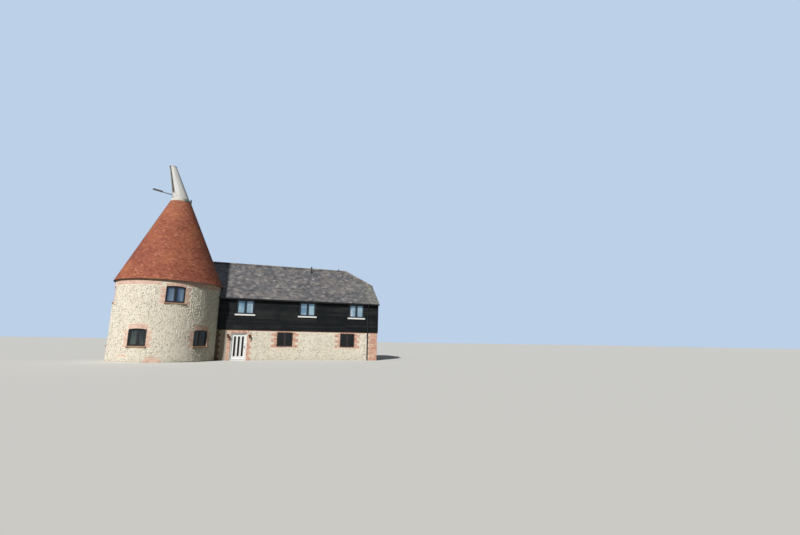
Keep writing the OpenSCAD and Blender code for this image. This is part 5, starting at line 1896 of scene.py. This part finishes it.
def door_beads():
    """Glazing beads round the tall panes and the weather bar at the leaf's foot."""
    beads = Shape(111)
    low, high = DOOR_PANES[0].z, DOOR_PANES[1].z
    for outer, out in ((DOOR_LEAF[0].y, -1), (DOOR_LEAF[1].y, 1)):
        y0, y1 = sorted((outer - out * 0.004, outer + out * BEAD_OUT))
        for i in (-1, 0, 1):
            left = DOOR_X + i * PANE_PITCH - PANE_W / 2
            right = left + PANE_W
            for x0, x1, z0, z1 in (
                (left - BEAD_W, left + 0.001, low - BEAD_W, high + BEAD_W),
                (right - 0.001, right + BEAD_W, low - BEAD_W, high + BEAD_W),
                (left, right, low - BEAD_W, low + 0.001),
                (left, right, high - 0.001, high + BEAD_W),
            ):
                beads.box((x0, y0, z0), (x1, y1, z1))
    y, z = DOOR_LEAF[0].y, DOOR_LEAF[0].z + 0.03
    profile = [
        (y + 0.004, z), (y - 0.028, z), (y - 0.03, z + 0.012), (y - 0.006, z + 0.055),
        (y + 0.004, z + 0.06),
    ]
    beads.loft([
        [(x, *p) for p in profile] for x in (DOOR_LEAF[0].x + 0.02, DOOR_LEAF[1].x - 0.02)])
    beads.piece("door_beads", "front_door", "white_paint", WHITE_PAINT)


def lanterns():
    """Two hexagonal lanterns on scrolled arms, each side of the door."""
    metalwork = Shape(121)
    for side in (-1, 1):
        wall = vec(DOOR_X + side * LANTERN_SIDE, BARN_FRONT, LANTERN_Z)
        head = wall + vec(0, -LANTERN_OUT, 0)
        metalwork.loft([
            [wall + vec(x * size, y, z * size - 0.066) for x, z in LANTERN_PLATE]
            for y, size in ((0.0, 1.0), (-0.014, 1.0), (-0.022, 0.82))
        ])
        metalwork.rod([
            wall + vec(0, -0.015 - 0.155 * t, 0.005 - 0.1 * (1 - t) ** 2 + 0.03 * sin(pi * t))
            for t in spread(0, 1, 12)
        ], 0.007, 8)
        scroll = []
        for t in (i / 14 for i in range(12)):
            curl = 0.032 * (1 - t)
            scroll.append(wall + vec(0, -0.05 - curl * cos(7 * t), -0.075 - curl * sin(7 * t)))
        metalwork.rod(scroll, 0.005, 6)
        for sides, finish, profile in LANTERN_PARTS:
            metalwork.turned(head, sides, profile, finish=finish)
        for angle in round_angles(6):
            out, other = towards(angle), towards(angle + pi / 3)
            post = [head + out * r - UP * depth for r, depth in (LANTERN_FOOT, LANTERN_HEAD)]
            metalwork.rod(post, 0.0045, 6)
            r, depth = LANTERN_RAIL
            metalwork.rod([head + way * r - UP * depth for way in (out, other)], 0.003, 4)
    metalwork.piece(
        "door_lanterns", "house", "lamp_metal", IRON, LAMP_GLASS, replaced=["wall_lamps"])


# Stage, light and camera

FLOOR_REACH = 700.0
# The sun's height and direction in degrees, its strength, its width and its tint
SUN_HEIGHT = 39
SUN_DIRECTION = 52 - 90
SUN_STRENGTH = 3.9
SUN_WIDTH = radians(2.5)
SUN_TINT = (1.0, 0.975, 0.94)
SKY_TINT = (0.88, 0.95, 1.0, 1.0)
SKY_STRENGTH = 0.12
CAMERA_PLACE = (6.1437, -35.0299, 1.6364)
CAMERA_YAW, CAMERA_PITCH, CAMERA_ROLL = radians(19.37), radians(10.25), radians(0.9)
SENSOR_WIDTH = 36.0
# The focal length as a share of the picture's width
FOCAL_SHARE = 409.368 / 800


def seen_by_camera(nodes):
    """1 where the camera, a reflection or a pane looks, and 0 for what only lights."""
    path = nodes.add("ShaderNodeLightPath").outputs
    seen = nodes.math("MAXIMUM", path["Is Camera Ray"], path["Is Glossy Ray"])
    return nodes.math("MAXIMUM", seen, path["Is Transmission Ray"])


def stage_and_light():
    """A pale floor and backdrop, one soft lamp from the front left and an even sky."""
    mesh = bpy.data.meshes.new("floor")
    corners = [(x * FLOOR_REACH, y * FLOOR_REACH, 0) for x, y in SQUARE]
    mesh.from_pydata(corners, [], [(0, 1, 2, 3)])
    floor_object = bpy.data.objects.new("floor", mesh)
    bpy.context.scene.collection.objects.link(floor_object)
    ground = Finish("stage_floor", roughness=0.95, specular=0.1)
    tint = ground.mix(seen_by_camera(ground), (112, 116, 106), (214, 214, 211))
    ground.wire(tint, ground.shader["Base Color"])
    mesh.materials.append(ground.material)
    world = bpy.data.worlds.new("sky")
    bpy.context.scene.world = world
    world.use_nodes = True
    world.node_tree.nodes.clear()
    sky = Nodes(world.node_tree)
    light, backdrop = (
        sky.add("ShaderNodeBackground", {"Color": colour, "Strength": strength}).outputs[0]
        for colour, strength in ((SKY_TINT, SKY_STRENGTH), (srgb(188, 208, 232), 1.0)))
    both = sky.add("ShaderNodeMixShader", {0: seen_by_camera(sky), 1: light, 2: backdrop})
    sky.add("ShaderNodeOutputWorld", {"Surface": both.outputs[0]})
    lamp = bpy.data.lights.new("key_light", "SUN")
    lamp.energy, lamp.angle, lamp.color = SUN_STRENGTH, SUN_WIDTH, SUN_TINT
    key = bpy.data.objects.new("key_light", lamp)
    bpy.context.scene.collection.objects.link(key)
    key.rotation_euler = (radians(90 - SUN_HEIGHT), 0, radians(SUN_DIRECTION))


def photo_camera():
    """The camera at the photograph's viewing angle, at eye height."""
    level = vec(sin(CAMERA_YAW), cos(CAMERA_YAW), 0)
    right = vec(cos(CAMERA_YAW), -sin(CAMERA_YAW), 0)
    forward = level * cos(CAMERA_PITCH) + UP * sin(CAMERA_PITCH)
    above = UP * cos(CAMERA_PITCH) - level * sin(CAMERA_PITCH)
    side = right * cos(CAMERA_ROLL) + above * sin(CAMERA_ROLL)
    above = above * cos(CAMERA_ROLL) - right * sin(CAMERA_ROLL)
    data = bpy.data.cameras.new("camera")
    data.sensor_width = SENSOR_WIDTH
    data.lens = FOCAL_SHARE * SENSOR_WIDTH
    data.clip_end = 2000.0
    camera = bpy.data.objects.new("camera", data)
    camera.matrix_world = placing(CAMERA_PLACE, side, above, -forward)
    bpy.context.scene.collection.objects.link(camera)
    bpy.context.scene.camera = camera


photo_camera()
stage_and_light()

rounds = round_tree()
kiln_claims = kiln_dressings()
eaves_band(rounds)
kiln_air_bricks()
kiln_sills()
barn_claims = barn_dressings()
flints(kiln_claims, barn_claims)
cone_roof(rounds)
barn_slates()
ridge_and_hips()
gutter_brackets()
barn_boards()
cowl_hood()
kerb_rolls(rounds)
stop_block()
junction_lead()
vent_aprons()
door_beads()
lanterns()

for source in SOURCES:
    bpy.data.objects.remove(source)

bpy.context.scene.view_settings.view_transform = "Standard"
